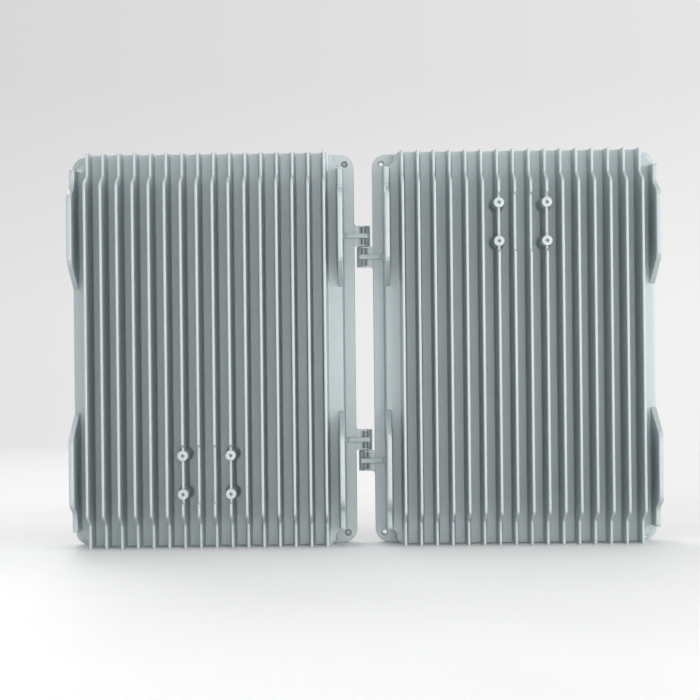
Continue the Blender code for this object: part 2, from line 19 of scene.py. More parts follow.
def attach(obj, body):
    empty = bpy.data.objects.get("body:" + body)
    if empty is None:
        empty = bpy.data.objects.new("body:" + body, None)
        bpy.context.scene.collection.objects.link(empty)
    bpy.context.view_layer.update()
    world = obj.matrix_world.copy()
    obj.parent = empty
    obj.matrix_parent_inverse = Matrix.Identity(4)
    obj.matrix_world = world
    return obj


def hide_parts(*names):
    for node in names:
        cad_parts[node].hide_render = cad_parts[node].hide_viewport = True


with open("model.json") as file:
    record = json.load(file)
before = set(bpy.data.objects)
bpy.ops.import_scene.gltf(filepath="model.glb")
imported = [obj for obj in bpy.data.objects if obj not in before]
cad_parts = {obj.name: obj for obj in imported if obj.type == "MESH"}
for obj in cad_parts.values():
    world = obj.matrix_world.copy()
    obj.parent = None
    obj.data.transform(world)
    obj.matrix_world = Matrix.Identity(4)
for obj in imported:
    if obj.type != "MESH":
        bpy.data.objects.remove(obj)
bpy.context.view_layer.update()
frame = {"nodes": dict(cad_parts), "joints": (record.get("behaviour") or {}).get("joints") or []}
HINGE = Vector(frame["joints"][0]["pos_m"])
SIDE_OF = {"base": 1, "lid": -1}

# ---- dimensions of the casting
FIN_PITCH = 0.017
FIN_COUNT = 16
FIRST_FIN = 0.042            # x of the fin nearest to the hinge
HALF_HEIGHT = 0.213
FLANGE_HINGE_EDGE = 0.010
FLANGE_OUTER_EDGE = 0.3195
FLANGE_CORNER = 0.015
WALL_HINGE = 0.022
WALL_OUTER = 0.316
CUT_HINGE = (0.0155, 0.013)  # how much the wall's corners lose, along x and along z
CUT_OUTER = (0.0150, 0.019)
SEALING_FACE = -0.0005
FLANGE_FRONT = -0.008
CAVITY_FLOOR = -0.028
CAVITY_RIM = (0.027, 0.3105, 0.2045, 0.0125)  # x of its sides, z of its end, distance to the screws
CAVITY_CORNER = 0.006
SEAL_LINE = (0.023, 0.3145, 0.2085, 0.0075)   # the same for the middle of the groove
SEAL_CORNER = 0.008
ROOF = -0.032
FIN_HIGH = 0.047             # heights above the roof
FIN_LOW = 0.0236
FIN_POCKET = 0.0425
FIN_SINK = 0.0020            # how far a fin's root reaches into the roof
GUARD_HIGH = 0.0505
GUARD_LOW = 0.026
GUARD_THICKNESS = 0.006
BOSS_HEIGHT = 0.0468
BOSS_FINS = (6, 9)           # indices of the fins that carry bosses
BOSS_LEVELS = (0.1125, 0.1535)
HINGE_RADIUS = 0.0075
HINGE_MIDDLE = 0.112         # z of the upper hinge's middle
KNUCKLE_LENGTH = 0.0224
KNUCKLE_GAP = 0.0008
RIB_HALF = 0.0028
PIN_RADIUS = 0.0025
HINGE_RELIEF = (0.0235, 0.2065, 0.0092)     # x, z and radius of the wall's pocket round a screw
OUTER_RELIEF = (0.3094, 0.2023, 0.0072)
GROOVE_HALF = 0.0016
GROOVE_DEPTH = 0.002
SCREW_HOLE = 0.0027          # radius of the corner holes
SCREWS = [(x, z) for x in (0.0201, 0.3094) for z in (0.2023, -0.2023)]
RECESS_FLOOR = FLANGE_FRONT + 0.0050
POST_TOP = -0.0233
POSTS = (
    (0.044, -0.140), (0.169, -0.140), (0.294, -0.140),
    (0.044, 0.020), (0.294, 0.020),
    (0.050, 0.180), (0.169, 0.190), (0.282, 0.178),
)
PORTS = (0.070, 0.169, 0.268)
GAP = 0.0003                 # clearance between neighbouring parts
BOARD_THICKNESS = 0.0016
BOARD_BACK = POST_TOP + GAP + BOARD_THICKNESS
ON_BOARD = BOARD_BACK + GAP
ON_CASTING = CAVITY_FLOOR + GAP
SHARP_ANGLE = math.radians(32)    # edges that bend more than this stay sharp


# ---- materials
class Nodes:
    """A short way to build a node tree."""

    def __init__(self, tree):
        self.tree = tree

    def add(self, kind, settings=None, **sockets):
        node = self.tree.nodes.new(kind)
        for key, value in (settings or {}).items():
            setattr(node, key, value)
        return self.wire(node, **sockets)

    def wire(self, node, **sockets):
        """Feeds a node's inputs, whose names are written with _ for a space."""
        for key, value in sockets.items():
            self.feed(node.inputs[key.replace("_", " ")], value)
        return node

    def feed(self, socket, value):
        """Gives a socket a link or a constant."""
        if isinstance(value, bpy.types.NodeSocket):
            self.tree.links.new(value, socket)
        else:
            socket.default_value = value

    def math(self, operation, first, second=0.0):
        node = self.add("ShaderNodeMath", {"operation": operation})
        self.feed(node.inputs[0], first)
        self.feed(node.inputs[1], second)
        return node.outputs[0]

    def product(self, first, second):
        return self.math("MULTIPLY", first, second)

    def vector(self, operation, value, outlet=0, **sockets):
        """A vector maths node that value feeds."""
        node = self.add("ShaderNodeVectorMath", {"operation": operation}, **sockets)
        self.feed(node.inputs[0], value)
        return node.outputs[outlet]

    def split(self, value):
        """The three parts of a vector."""
        return self.add("ShaderNodeSeparateXYZ", Vector=value).outputs

    def span(self, value, low, high, to_low, to_high):
        """value mapped from low..high to to_low..to_high, and kept inside."""
        node = self.add("ShaderNodeMapRange", {"clamp": True}, Value=value)
        names = ("From Min", "From Max", "To Min", "To Max")
        for key, number in zip(names, (low, high, to_low, to_high)):
            node.inputs[key].default_value = number
        return node.outputs[0]

    def mix(self, factor, first, second):
        node = self.add("ShaderNodeMix", {"data_type": "RGBA"})
        for index, value in ((0, factor), (6, first), (7, second)):
            self.feed(node.inputs[index], value)
        return node.outputs[2]

    def noise(self, place, scale, detail=3.0, roughness=0.55):
        sockets = {"Vector": place, "Scale": scale, "Detail": detail, "Roughness": roughness}
        return self.add("ShaderNodeTexNoise", **sockets).outputs["Fac"]


def new_material(name):
    """A material, its nodes, its shader and the object's own coordinates."""
    material = bpy.data.materials.new(name)
    material.use_nodes = True
    nodes = Nodes(material.node_tree)
    place = nodes.add("ShaderNodeTexCoord").outputs["Object"]
    return material, nodes, material.node_tree.nodes["Principled BSDF"], place


def rgba(colour, gain=1.0):
    return (*(min(1.0, channel * gain) for channel in colour), 1.0)


BARE_METAL = (0.72, 0.77, 0.78)


def surface(name, colour, roughness, metallic=0.0, vary=0.06, cloud=14.0, grain=1400.0,
            height=0.00003, wear=0.0, rough_vary=0.08, pattern=None, **shader_values):
    """A finish with soft colour clouds, fine grain, uneven gloss and, where asked, worn edges.

    vary is the share by which the colour changes, cloud and grain are noise scales, height is the
    grain's depth, wear how far bare metal shows on edges, rough_vary the change of roughness.
    """
    material, nodes, shader, place = new_material(name)
    clouds = nodes.noise(place, cloud, 4.0)
    fine = nodes.noise(place, grain, 2.0)
    tone = nodes.span(clouds, 0.3, 0.7, 0.0, 1.0)
    tint = nodes.mix(tone, rgba(colour, 1 - vary), rgba(colour, 1 + vary))
    speck = nodes.span(fine, 0.35, 0.75, 0.0, 0.35)
    tint = nodes.mix(speck, tint, rgba(colour, 1 - 2 * vary))
    if pattern:
        tint = pattern(nodes, place, tint)
    if wear:
        bend = nodes.add("ShaderNodeNewGeometry").outputs["Pointiness"]
        edge = nodes.span(bend, 0.505, 0.56, 0.0, wear)
        patchy = nodes.span(nodes.noise(place, 90.0), 0.4, 0.6, 0.35, 1.0)
        tint = nodes.mix(nodes.product(edge, patchy), tint, rgba(BARE_METAL))
    gloss = nodes.span(clouds, 0.3, 0.7, roughness - rough_vary, roughness + rough_vary)
    bump = nodes.add("ShaderNodeBump", Strength=0.6, Distance=height, Height=fine).outputs[0]
    nodes.wire(shader, Base_Color=tint, Roughness=gloss, Metallic=metallic, Normal=bump, **shader_values)
    return material


def circuit_pattern(nodes, place, tint):
    """Copper fills, bundles of parallel tracks and vias that show through the solder mask."""
    fill_colour, track_colour = (0.016, 0.145, 0.062), (0.024, 0.20, 0.09)
    via_colour = (0.40, 0.38, 0.30)
    block_kind = {"feature": "F1", "distance": "MANHATTAN"}
    blocks = nodes.add("ShaderNodeTexVoronoi", block_kind, Vector=place, Scale=42.0)
    number = nodes.math("FRACT", nodes.product(blocks.outputs["Color"], 7.0))
    tint = nodes.mix(nodes.span(number, 0.62, 0.63, 0.0, 0.8), tint, rgba(fill_colour))
    parts = nodes.split(place)
    for axis, cells, tracks in (("X", 62.0, 620.0), ("Z", 71.0, 560.0)):     # counts per metre
        cell = nodes.vector("FLOOR", nodes.vector("SCALE", place, Scale=cells))
        dice = nodes.add("ShaderNodeTexWhiteNoise", Vector=cell)
        chosen = nodes.span(dice.outputs["Value"], 0.58, 0.60, 0.0, 0.9)     # four cells in ten
        lane = nodes.math("FRACT", nodes.product(parts[axis], tracks))
        track = nodes.span(lane, 0.36, 0.42, 1.0, 0.0)
        tint = nodes.mix(nodes.product(track, chosen), tint, rgba(track_colour))
    via_kind = {"feature": "F1"}
    vias = nodes.add("ShaderNodeTexVoronoi", via_kind, Vector=place, Scale=210.0, Randomness=0.9)
    near = vias.outputs["Distance"]
    outside_hole = nodes.span(near, 0.07, 0.09, 0.0, 1.0)
    inside_rim = nodes.span(near, 0.13, 0.15, 1.0, 0.0)
    return nodes.mix(nodes.product(outside_hole, inside_rim), tint, rgba(via_colour))


def painted_winding_shade(nodes, place, tint):
    """Painted shade: slight darkening between the turns of a tape wrap."""
    bands = nodes.add("ShaderNodeTexWave", {"bands_direction": "Z"}, Vector=place, Scale=90.0)
    shade = nodes.span(bands.outputs["Fac"], 0.0, 0.25, 0.35, 0.0)
    return nodes.mix(shade, tint, rgba((0.25, 0.18, 0.05)))


# Each look: the frame's material slot, then the surface's name, colour and roughness, and the rest.
FINISHES = {
    "cast": ("cast_aluminium", "cast_coating", (0.505, 0.565, 0.576), 0.44, dict(
        metallic=0.25, vary=0.018, cloud=7.0, grain=1500.0, height=0.00004, rough_vary=0.03,
        wear=0.35)),
    "rubber": ("seal_rubber", "seal_rubber_black", (0.028, 0.028, 0.03), 0.72, dict(
        vary=0.12, height=0.00005)),
    "steel": ("bright_steel", "zinc_steel", (0.62, 0.63, 0.64), 0.28, dict(
        metallic=1.0, cloud=160.0, grain=3000.0, height=0.00001)),
    "plastic": ("grey_plastic", "grey_moulding", (0.20, 0.22, 0.23), 0.5, dict(
        cloud=30.0, grain=2600.0, height=0.00002)),
    "terminal": ("grey_plastic", "green_moulding", (0.05, 0.30, 0.16), 0.42, dict(
        cloud=30.0, grain=2600.0, height=0.00002)),
    "mask": ("board_laminate", "solder_mask", (0.009, 0.095, 0.040), 0.32, dict(
        vary=0.05, cloud=40.0, pattern=circuit_pattern, height=0.00001, Coat_Weight=0.3)),
    "film": ("capacitor_case", "film_case", (0.52, 0.49, 0.38), 0.42, dict(
        cloud=40.0, grain=2200.0, height=0.00002)),
    "resin": ("black_resin", "black_moulding", (0.026, 0.026, 0.03), 0.45, dict(vary=0.10, cloud=60.0)),
    "potting": ("black_resin", "potting_resin", (0.035, 0.037, 0.042), 0.22, dict(
        vary=0.15, cloud=70.0, grain=300.0, height=0.0003, Coat_Weight=0.4)),
    "can": ("inductor_can", "drawn_can", (0.50, 0.52, 0.54), 0.34, dict(
        metallic=0.9, cloud=60.0, grain=1800.0, height=0.00002)),
    "module": ("module_case", "module_moulding", (0.72, 0.72, 0.69), 0.5, dict(height=0.00002)),
    "copper": ("bright_steel", "enamelled_copper", (0.62, 0.25, 0.10), 0.26, dict(
        metallic=0.85, vary=0.18, cloud=220.0, height=0.00002, Coat_Weight=0.5)),
    "core": ("black_resin", "ferrite", (0.055, 0.056, 0.06), 0.55, dict(
        vary=0.12, cloud=90.0, grain=900.0, height=0.00008)),
    # the tape's darker bands are painted shade between its turns
    "tape": ("capacitor_case", "yellow_tape", (0.72, 0.52, 0.10), 0.35, dict(
        cloud=60.0, pattern=painted_winding_shade)),
    "dark_steel": ("bright_steel", "blackened_steel", (0.27, 0.28, 0.29), 0.34, dict(
        metallic=0.9, cloud=160.0, grain=3000.0, height=0.00001)),
    "solder": ("bright_steel", "tinned_copper", (0.66, 0.66, 0.63), 0.3, dict(
        metallic=0.9, cloud=400.0, height=0.00004)),
    "tinplate": ("bright_steel", "tinplate", (0.66, 0.66, 0.65), 0.30, dict(
        metallic=1.0, vary=0.03, cloud=30.0, grain=2500.0, height=0.00001, rough_vary=0.04)),
    "ceramic": ("capacitor_case", "ceramic_tan", (0.40, 0.29, 0.18), 0.45, dict(
        vary=0.15, cloud=500.0)),
}
LOOKS = {
    look: surface(name, colour, roughness, **rest)
    for look, (_, name, colour, roughness, rest) in FINISHES.items()
}


# ---- outlines
def arc(centre, radius, start, end, steps):
    """Points on an arc, both ends included; angles in degrees."""
    angles = [math.radians(start + (end - start) * i / steps) for i in range(steps + 1)]
    return [(centre[0] + radius * math.cos(a), centre[1] + radius * math.sin(a)) for a in angles]


def circle(centre, radius, sides):
    return arc(centre, radius, 0, 360, sides)[:-1]


def rounded(corners, radius, steps, closed=True):
    """An outline or an open line whose corners are arcs; radius is one number or one per corner."""
    count = len(corners)
    points = []
    for i, here in enumerate(corners):
        r = radius[i] if isinstance(radius, (list, tuple)) else radius
        if not closed and i in (0, count - 1) or r <= 0:
            points.append(here)
            continue
        corner = Vector(here)
        before = (Vector(corners[i - 1]) - corner).normalized()
        after = (Vector(corners[(i + 1) % count]) - corner).normalized()
        opening = before.angle(after)
        reach = r / math.tan(opening / 2)
        centre = corner + (before + after).normalized() * (r / math.sin(opening / 2))
        first, last = corner + before * reach - centre, corner + after * reach - centre
        turn = math.pi - opening
        for k in range(steps + 1):
            t = k / steps
            spoke = first * math.sin((1 - t) * turn) + last * math.sin(t * turn)
            points.append(tuple(centre + spoke / math.sin(turn)))
    return points


def quarter_turn(steps):
    """(1 - cos, 1 - sin) at even steps through a quarter turn."""
    angles = [math.radians(90 * k / steps) for k in range(steps + 1)]
    return [(1 - math.cos(a), 1 - math.sin(a)) for a in angles]


def inset(points, distance):
    """A closed outline that runs anticlockwise, moved inwards by distance."""
    moved = []
    count = len(points)
    for i in range(count):
        here = Vector(points[i])
        one = (here - Vector(points[i - 1])).normalized()
        two = (Vector(points[(i + 1) % count]) - here).normalized()
        normal_one, normal_two = Vector((-one.y, one.x)), Vector((-two.y, two.x))
        mitre = normal_one + normal_two
        moved.append(tuple(here + mitre * (distance / max(0.3, 1 + normal_one.dot(normal_two)))))
    return moved


def rectangle(centre, width, height, radius=0.0, steps=3):
    """A rounded rectangle that runs anticlockwise."""
    x, z, w, h = centre[0], centre[1], width / 2, height / 2
    return rounded([(x - w, z - h), (x + w, z - h), (x + w, z + h), (x - w, z + h)], radius, steps)


def spun(points, centre, angle):
    """Points turned by angle degrees about the origin, then moved to centre."""
    turn, shift = Matrix.Rotation(math.radians(angle), 2), Vector(centre)
    return [tuple(turn @ Vector(p) + shift) for p in points]


def spread(count, pitch):
    """Places at an even pitch, centred on zero."""
    return [(i - (count - 1) / 2) * pitch for i in range(count)]


def resample(line, count):
    """count points at even distances along an open line."""
    spots = [Vector(p) for p in line]
    marks = [0.0]
    for a, b in zip(spots, spots[1:]):
        marks.append(marks[-1] + (b - a).length)
    result, k = [], 0
    for i in range(count):
        target = marks[-1] * i / (count - 1)
        while k < len(marks) - 2 and marks[k + 1] < target:
            k += 1
        t = (target - marks[k]) / max(1e-12, marks[k + 1] - marks[k])
        result.append(tuple(spots[k].lerp(spots[k + 1], min(1.0, t))))
    return result


QUARTER = 30                 # points along each quarter of an outline of the whole half
FINE_QUARTER = 160           # points while a quarter is still being shaped
WALL_START = 0.190           # z where a wall's quarter outline starts


def join_quarters(hinge_quarter, outer_quarter):
    """A whole outline from its two upper quarters, each running from the side to the end."""
    hinge, outer = resample(hinge_quarter, QUARTER), resample(outer_quarter, QUARTER)
    lower_hinge = [(x, -z) for x, z in hinge]
    lower_outer = [(x, -z) for x, z in outer]
    return outer + hinge[::-1] + lower_hinge + lower_outer[::-1]


def flange_outline(inwards):
    """The flange's rim; the inset runs out where the end wall is flush with it."""
    radius = FLANGE_CORNER - inwards
    level = HALF_HEIGHT - FLANGE_CORNER
    hinge = arc((FLANGE_HINGE_EDGE + FLANGE_CORNER, level), radius, 180, 90, 20)
    outer = arc((FLANGE_OUTER_EDGE - FLANGE_CORNER, level), radius, 0, 90, 20)
    hinge.append((WALL_HINGE + CUT_HINGE[0] - 0.001, HALF_HEIGHT))
    outer.append((WALL_OUTER - CUT_OUTER[0] + 0.001, HALF_HEIGHT))
    return join_quarters(hinge, outer)


def wall_quarter(side, inward, cut, relief, inwards, end):
    """Side wall, cut corner and round pocket; inward is +1 or -1 along x, end is the upper end's z."""
    face = side + inward * inwards
    line = [(face, WALL_START), (face, end - cut[1]), (face + inward * cut[0], end)]
    centre, radius = Vector(relief[:2]), relief[2] + inwards
    points = []
    for x, z in resample(line, FINE_QUARTER):
        spoke = Vector((x, z)) - centre
        if 1e-9 < spoke.length < radius:
            spot = centre + spoke.normalized() * radius
            x = max(face, spot.x) if inward > 0 else min(face, spot.x)
            z = min(end, spot.y)
        points.append((x, z))
    return points


def wall_outline(inwards, end=HALF_HEIGHT):
    hinge = wall_quarter(WALL_HINGE, 1, CUT_HINGE, HINGE_RELIEF, inwards, end)
    outer = wall_quarter(WALL_OUTER, -1, CUT_OUTER, OUTER_RELIEF, inwards, end)
    return join_quarters(hinge, outer)


def inner_outline(rim, inwards, radius):
    """A rim line moved inwards; its cut corners run past the corner screws."""
    hinge_side, outer_side, end, to_screw = rim
    hinge_side, outer_side, end = hinge_side + inwards, outer_side - inwards, end - inwards
    (screw_left, level), screw_right = SCREWS[0], SCREWS[2][0]
    reach = (to_screw + inwards) * math.sqrt(2)
    left, right = screw_left - level + reach, screw_right + level - reach
    quarters = []
    for side, first, last, run in (
        (hinge_side, hinge_side - left, left + end, 0.03),
        (outer_side, right - outer_side, right - end, -0.03),
    ):
        line = [(side, first - abs(run)), (side, first), (last, end), (last + run, end)]
        quarters.append(rounded(line, radius, 8, closed=False)[1:-1])
    return join_quarters(*quarters)


def seal_outline(outwards):
    """The middle of the groove, moved outwards."""
    return inner_outline(SEAL_LINE, -outwards, SEAL_CORNER + outwards)


def cavity_outline(inwards):
    """The cavity's rim, moved inwards."""
    return inner_outline(CAVITY_RIM, inwards, CAVITY_CORNER)


# ---- mesh building
def new_object(name, data):
    """An object of the scene that shows a mesh, a lamp or a camera."""
    obj = bpy.data.objects.new(name, data)
    bpy.context.scene.collection.objects.link(obj)
    return obj


class Shape:
    """One piece's mesh while it is built, in its half's own frame."""

    def __init__(self):
        self.points = []
        self.faces = []

    def loft(self, rings, caps=True, looped=False):
        """Skins closed rings of equally many points; looped joins the last ring to the first."""
        first, count = len(self.points), len(rings[0])
        for ring in rings:
            self.points.extend(ring)
        total = len(rings)
        for r in range(total if looped else total - 1):
            here, there = first + r * count, first + (r + 1) % total * count
            for i in range(count):
                j = (i + 1) % count
                self.faces.append((here + i, here + j, there + j, there + i))
        if caps and not looped:
            self.faces.append(tuple(range(first + count - 1, first - 1, -1)))
            last = first + (total - 1) * count
            self.faces.append(tuple(range(last, last + count)))
        return self

    def stack_y(self, layers):
        """A loft of (outline in x and z, y) layers."""
        return self.loft([[(x, y, z) for x, z in outline] for outline, y in layers])

    def stack_z(self, layers):
        """A loft of (outline in x and y, z) layers."""
        return self.loft([[(x, y, z) for x, y in outline] for outline, z in layers])

    def prism(self, outline, low, high):
        """An outline in x and z pushed along y, with square rims."""
        return self.stack_y([(outline, low), (outline, high)])

    def turned(self, centre, profile, sides=32):
        """A body of revolution along y; profile holds (radius, y)."""
        return self.stack_y([(circle(centre, radius, sides), y) for radius, y in profile])

    def slab(self, outline, start, end, edge, along="y", steps=3):
        """An outline pushed along y or z, with rounded rims."""
        layers = []
        for rise, back in quarter_turn(steps):
            layers.append((inset(outline, edge * back), start + edge * rise))
        layers += [(ring, start + end - level) for ring, level in reversed(layers)]
        return self.stack_y(layers) if along == "y" else self.stack_z(layers)

    def box(self, centre, size, base, corner=0.001, edge=0.0005):
        """A block standing on base; size is (along x, height, along z)."""
        outline = rectangle(centre, size[0], size[2], corner)
        return self.slab(outline, base, base + size[1], edge, steps=2)

    def chip(self, centre, size, base):
        """A very small block with a chamfered top."""
        length, height, width = size
        chamfer = 0.0001
        foot = rectangle(centre, length, width)
        top = rectangle(centre, length - 2 * chamfer, width - 2 * chamfer)
        return self.stack_y([(foot, base), (foot, base + height - chamfer), (top, base + height)])

    def tube(self, line, radius, sides):
        """A round wire along points."""
        spots = [Vector(p) for p in line]
        last = len(spots) - 1
        rings, across = [], None
        for i, spot in enumerate(spots):
            run = (spots[min(i + 1, last)] - spots[max(i - 1, 0)]).normalized()
            if across is None:
                across = run.orthogonal().normalized()
            across = (across - run * across.dot(run)).normalized()
            up = run.cross(across)
            spokes = circle((0.0, 0.0), radius, sides)
            rings.append([tuple(spot + across * a + up * b) for a, b in spokes])
        return self.loft(rings)

    def copy_of(self, other, shift=(0.0, 0.0, 0.0)):
        """Adds another shape, moved by shift."""
        first = len(self.points)
        self.points.extend((x + shift[0], y + shift[1], z + shift[2]) for x, y, z in other.points)
        self.faces.extend(tuple(first + i for i in face) for face in other.faces)
        return self

    def mesh(self, name):
        mesh = bpy.data.meshes.new(name)
        mesh.from_pydata(self.points, [], self.faces)
        bm = bmesh.new()
        bm.from_mesh(mesh)
        bmesh.ops.recalc_face_normals(bm, faces=bm.faces)
        bm.to_mesh(mesh)
        bm.free()
        return mesh

    def cut(self, tool):
        """This shape with the bodies of another one cut away."""
        objects = [new_object("work", shape.mesh("work")) for shape in (self, tool)]
        modifier = objects[0].modifiers.new("cut", "BOOLEAN")
        modifier.operation = "DIFFERENCE"
        modifier.solver = "EXACT"
        modifier.object = objects[1]
        evaluated = objects[0].evaluated_get(bpy.context.evaluated_depsgraph_get())
        result = bpy.data.meshes.new_from_object(evaluated)
        self.points = [tuple(v.co) for v in result.vertices]
        self.faces = [tuple(p.vertices) for p in result.polygons]
        for obj in objects:
            bpy.data.objects.remove(obj)
        bpy.data.meshes.remove(result)
        return self


def make(name, half, shape, look, replaced=()):
    """Turns a shape into a finished piece that rides on its half."""
    side = SIDE_OF[half]
    placed = Shape()
    placed.faces = shape.faces
    placed.points = [(side * x, HINGE.y + y, HINGE.z + side * z) for x, y, z in shape.points]
    mesh = placed.mesh(name)
    mesh.materials.append(LOOKS[look])
    mesh.shade_smooth()
    mesh.set_sharp_from_angle(angle=SHARP_ANGLE)
    obj = new_object(name, mesh)
    weighted = obj.modifiers.new("even_shading", "WEIGHTED_NORMAL")
    weighted.keep_sharp = True
    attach(obj, half)
    if replaced:
        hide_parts(*replaced)


# ---- the casting
def body_shell():
    """Roof, walls, flange, sealing face, groove and cavity as one skin."""
    brow, draft, foot, rim, nick = 0.0015, 0.0008, 0.0014, 0.0009, 0.0003
    layers = []
    for rise, back in quarter_turn(4):
        wall = wall_outline(draft + brow * back, HALF_HEIGHT - brow * back)
        layers.append((wall, ROOF + brow * rise))
    for rise, back in quarter_turn(4):
        layers.append((wall_outline(-foot * rise), FLANGE_FRONT - foot * back))
    for rise, back in quarter_turn(3):
        layers.append((flange_outline(rim * back), FLANGE_FRONT + rim * rise))
    layers.append((flange_outline(0.0), SEALING_FACE - nick))
    layers.append((flange_outline(nick), SEALING_FACE))
    # the groove: out from its outer edge, down, across its floor and up again
    side = ((GROOVE_HALF + nick, 0.0), (GROOVE_HALF, nick), (GROOVE_HALF, GROOVE_DEPTH - nick),
            (GROOVE_HALF - nick, GROOVE_DEPTH))
    for offset, deep in side + tuple((-offset, deep) for offset, deep in reversed(side)):
        layers.append((seal_outline(offset), SEALING_FACE - deep))
    lip, bend, cavity_draft = 0.0005, 0.003, 0.0004
    for rise, _ in quarter_turn(3):
        layers.append((cavity_outline(lip * (rise - 1)), SEALING_FACE - lip * rise))
    for rise, back in quarter_turn(5):
        layers.append((cavity_outline(cavity_draft + bend * rise), CAVITY_FLOOR + bend * back))
    return Shape().stack_y(layers)


def fin_section(middle, halves, height, feet, crown, z):
    """A fin's or guard's section at z.

    halves are its half widths at root and tip, feet the fillets on its two sides, crown the
    radius of its edge.
    """
    root, tip = halves
    crown = min(crown, height * 0.4)
    ring = []
    for sign, foot in zip((-1, 1), feet):
        fillet = min(foot, height * 0.5)
        half = [(root + fillet, -FIN_SINK)]
        if fillet > 0:
            half += [(root + fillet * back, fillet * rise) for rise, back in quarter_turn(4)]
        half += [(tip - crown * rise, height - crown * back) for rise, back in quarter_turn(4)]
        side = [(middle + sign * across, ROOF - up, z) for across, up in half]
        ring += side if sign < 0 else side[::-1]
    return ring


def fin_stations(pocket):
    """(z, height) along a fin's edge with its corners rounded, from one end to the other."""
    low_from, high_to = 0.187, 0.1775
    pocket_from, pocket_to, slope = 0.101, 0.1645, 0.003
    step_rounding, pocket_rounding = [0.0025, 0.0045], 0.001
    line = [(-HALF_HEIGHT, FIN_LOW), (-low_from, FIN_LOW), (-high_to, FIN_HIGH)]
    radii = [0, *step_rounding]
    if pocket:
        line += [(pocket_from, FIN_HIGH), (pocket_from + slope, FIN_POCKET)]
        line += [(pocket_to - slope, FIN_POCKET), (pocket_to, FIN_HIGH)]
        radii += [pocket_rounding] * 4
    line += [(high_to, FIN_HIGH), (low_from, FIN_LOW), (HALF_HEIGHT, FIN_LOW)]
    radii += [*reversed(step_rounding), 0]
    return rounded(line, radii, 5, closed=False)


def add_fins(shape):
    """The fins; their ends are bevelled, and the four at the bosses are lower there."""
    root, tip, nick = 0.0025, 0.0014, 0.0004
    foot, crown, end_foot, end_crown = 0.0016, 0.0008, 0.0012, 0.0005
    for index in range(FIN_COUNT):
        middle = FIRST_FIN + index * FIN_PITCH
        stations = fin_stations(BOSS_FINS[0] <= index <= BOSS_FINS[1])
        last = len(stations) - 1
        rings = []
        for i, (z, height) in enumerate(stations):
            rings.append(fin_section(middle, (root, tip), height, (foot, foot), crown, z))
            if i in (0, last):
                halves, feet = (root - nick, tip - nick), (end_foot, end_foot)
                end = fin_section(middle, halves, height - nick, feet, end_crown, z)
                near = z - math.copysign(nick, z)
                rings[-1] = [(x, y, near) for x, y, _ in rings[-1]]
                rings.insert(len(rings) - (1 if i == 0 else 0), end)
        shape.loft(rings)


def add_guards(shape):
    """Plates in line with the side walls near the corners."""
    base, chin = 0.0004, 0.0033
    line = [
        (0.195, base), (0.195, GUARD_LOW), (0.174, GUARD_LOW), (0.165, GUARD_HIGH),
        (0.097, GUARD_HIGH), (0.0925, GUARD_HIGH - chin), (0.067, base),
    ]
    radii = [0, 0.003, 0.006, 0.009, 0.004, 0.004, 0]
    stations = rounded(line, radii, 5, closed=False)[1:]
    back, taper, crown, foot, nick, end_share = 0.0002, 0.0003, 0.0013, 0.002, 0.0005, 0.85
    half = (GUARD_THICKNESS - back) / 2
    guards = ((WALL_HINGE + back + half, (0.0, foot)), (WALL_OUTER - back - half, (foot, 0.0)))
    for middle, feet in guards:
        for sign in (1, -1):
            rings = []
            for z, height in stations:
                halves = (half, half - taper * height / GUARD_HIGH)
                rings.append(fin_section(middle, halves, height, feet, crown, sign * z))
            first = [(middle + (x - middle) * end_share, y, z) for x, y, z in rings[0]]
            rings[0] = [(x, y, z - sign * nick) for x, y, z in rings[0]]
            shape.loft([first] + rings)


def add_bosses(shape):
    """Bracket bosses, each with a blind threaded hole."""
    foot, crown, top, hole, bevel = 0.0022, 0.0006, BOSS_HEIGHT, 0.00165, 0.0005
    root_radius, top_radius, sunk = 0.0066, 0.0055, 0.0006
    turns, pitch, first, thread = 9, 0.0012, 0.001, 0.0003
    profile = [(root_radius + foot, sunk)]
    profile += [(root_radius + a, -b) for a, b in ((foot, 0.0), (foot * 0.3, foot * 0.3), (0.0, foot))]
    profile += [(top_radius, crown - top), (top_radius - crown * 0.3, crown * 0.3 - top)]
    profile += [(top_radius - crown, -top), (hole + bevel, -top), (hole, bevel - top)]
    for turn in range(turns):
        level = pitch * turn + first - top
        profile += [(hole, level), (hole - thread, level + thread), (hole, level + 2 * thread)]
    profile += [(hole, 0.0125 - top), (0.0004, 0.0132 - top)]
    for index in BOSS_FINS:
        for z in BOSS_LEVELS:
            shape.turned((FIRST_FIN + index * FIN_PITCH, z), [(r, ROOF + y) for r, y in profile])


def knuckle_ranges():
    """The lower and upper z of this half's two knuckles."""
    tops = [sign * HINGE_MIDDLE - KNUCKLE_GAP / 2 for sign in (1, -1)]
    return [(top - KNUCKLE_LENGTH, top) for top in tops]


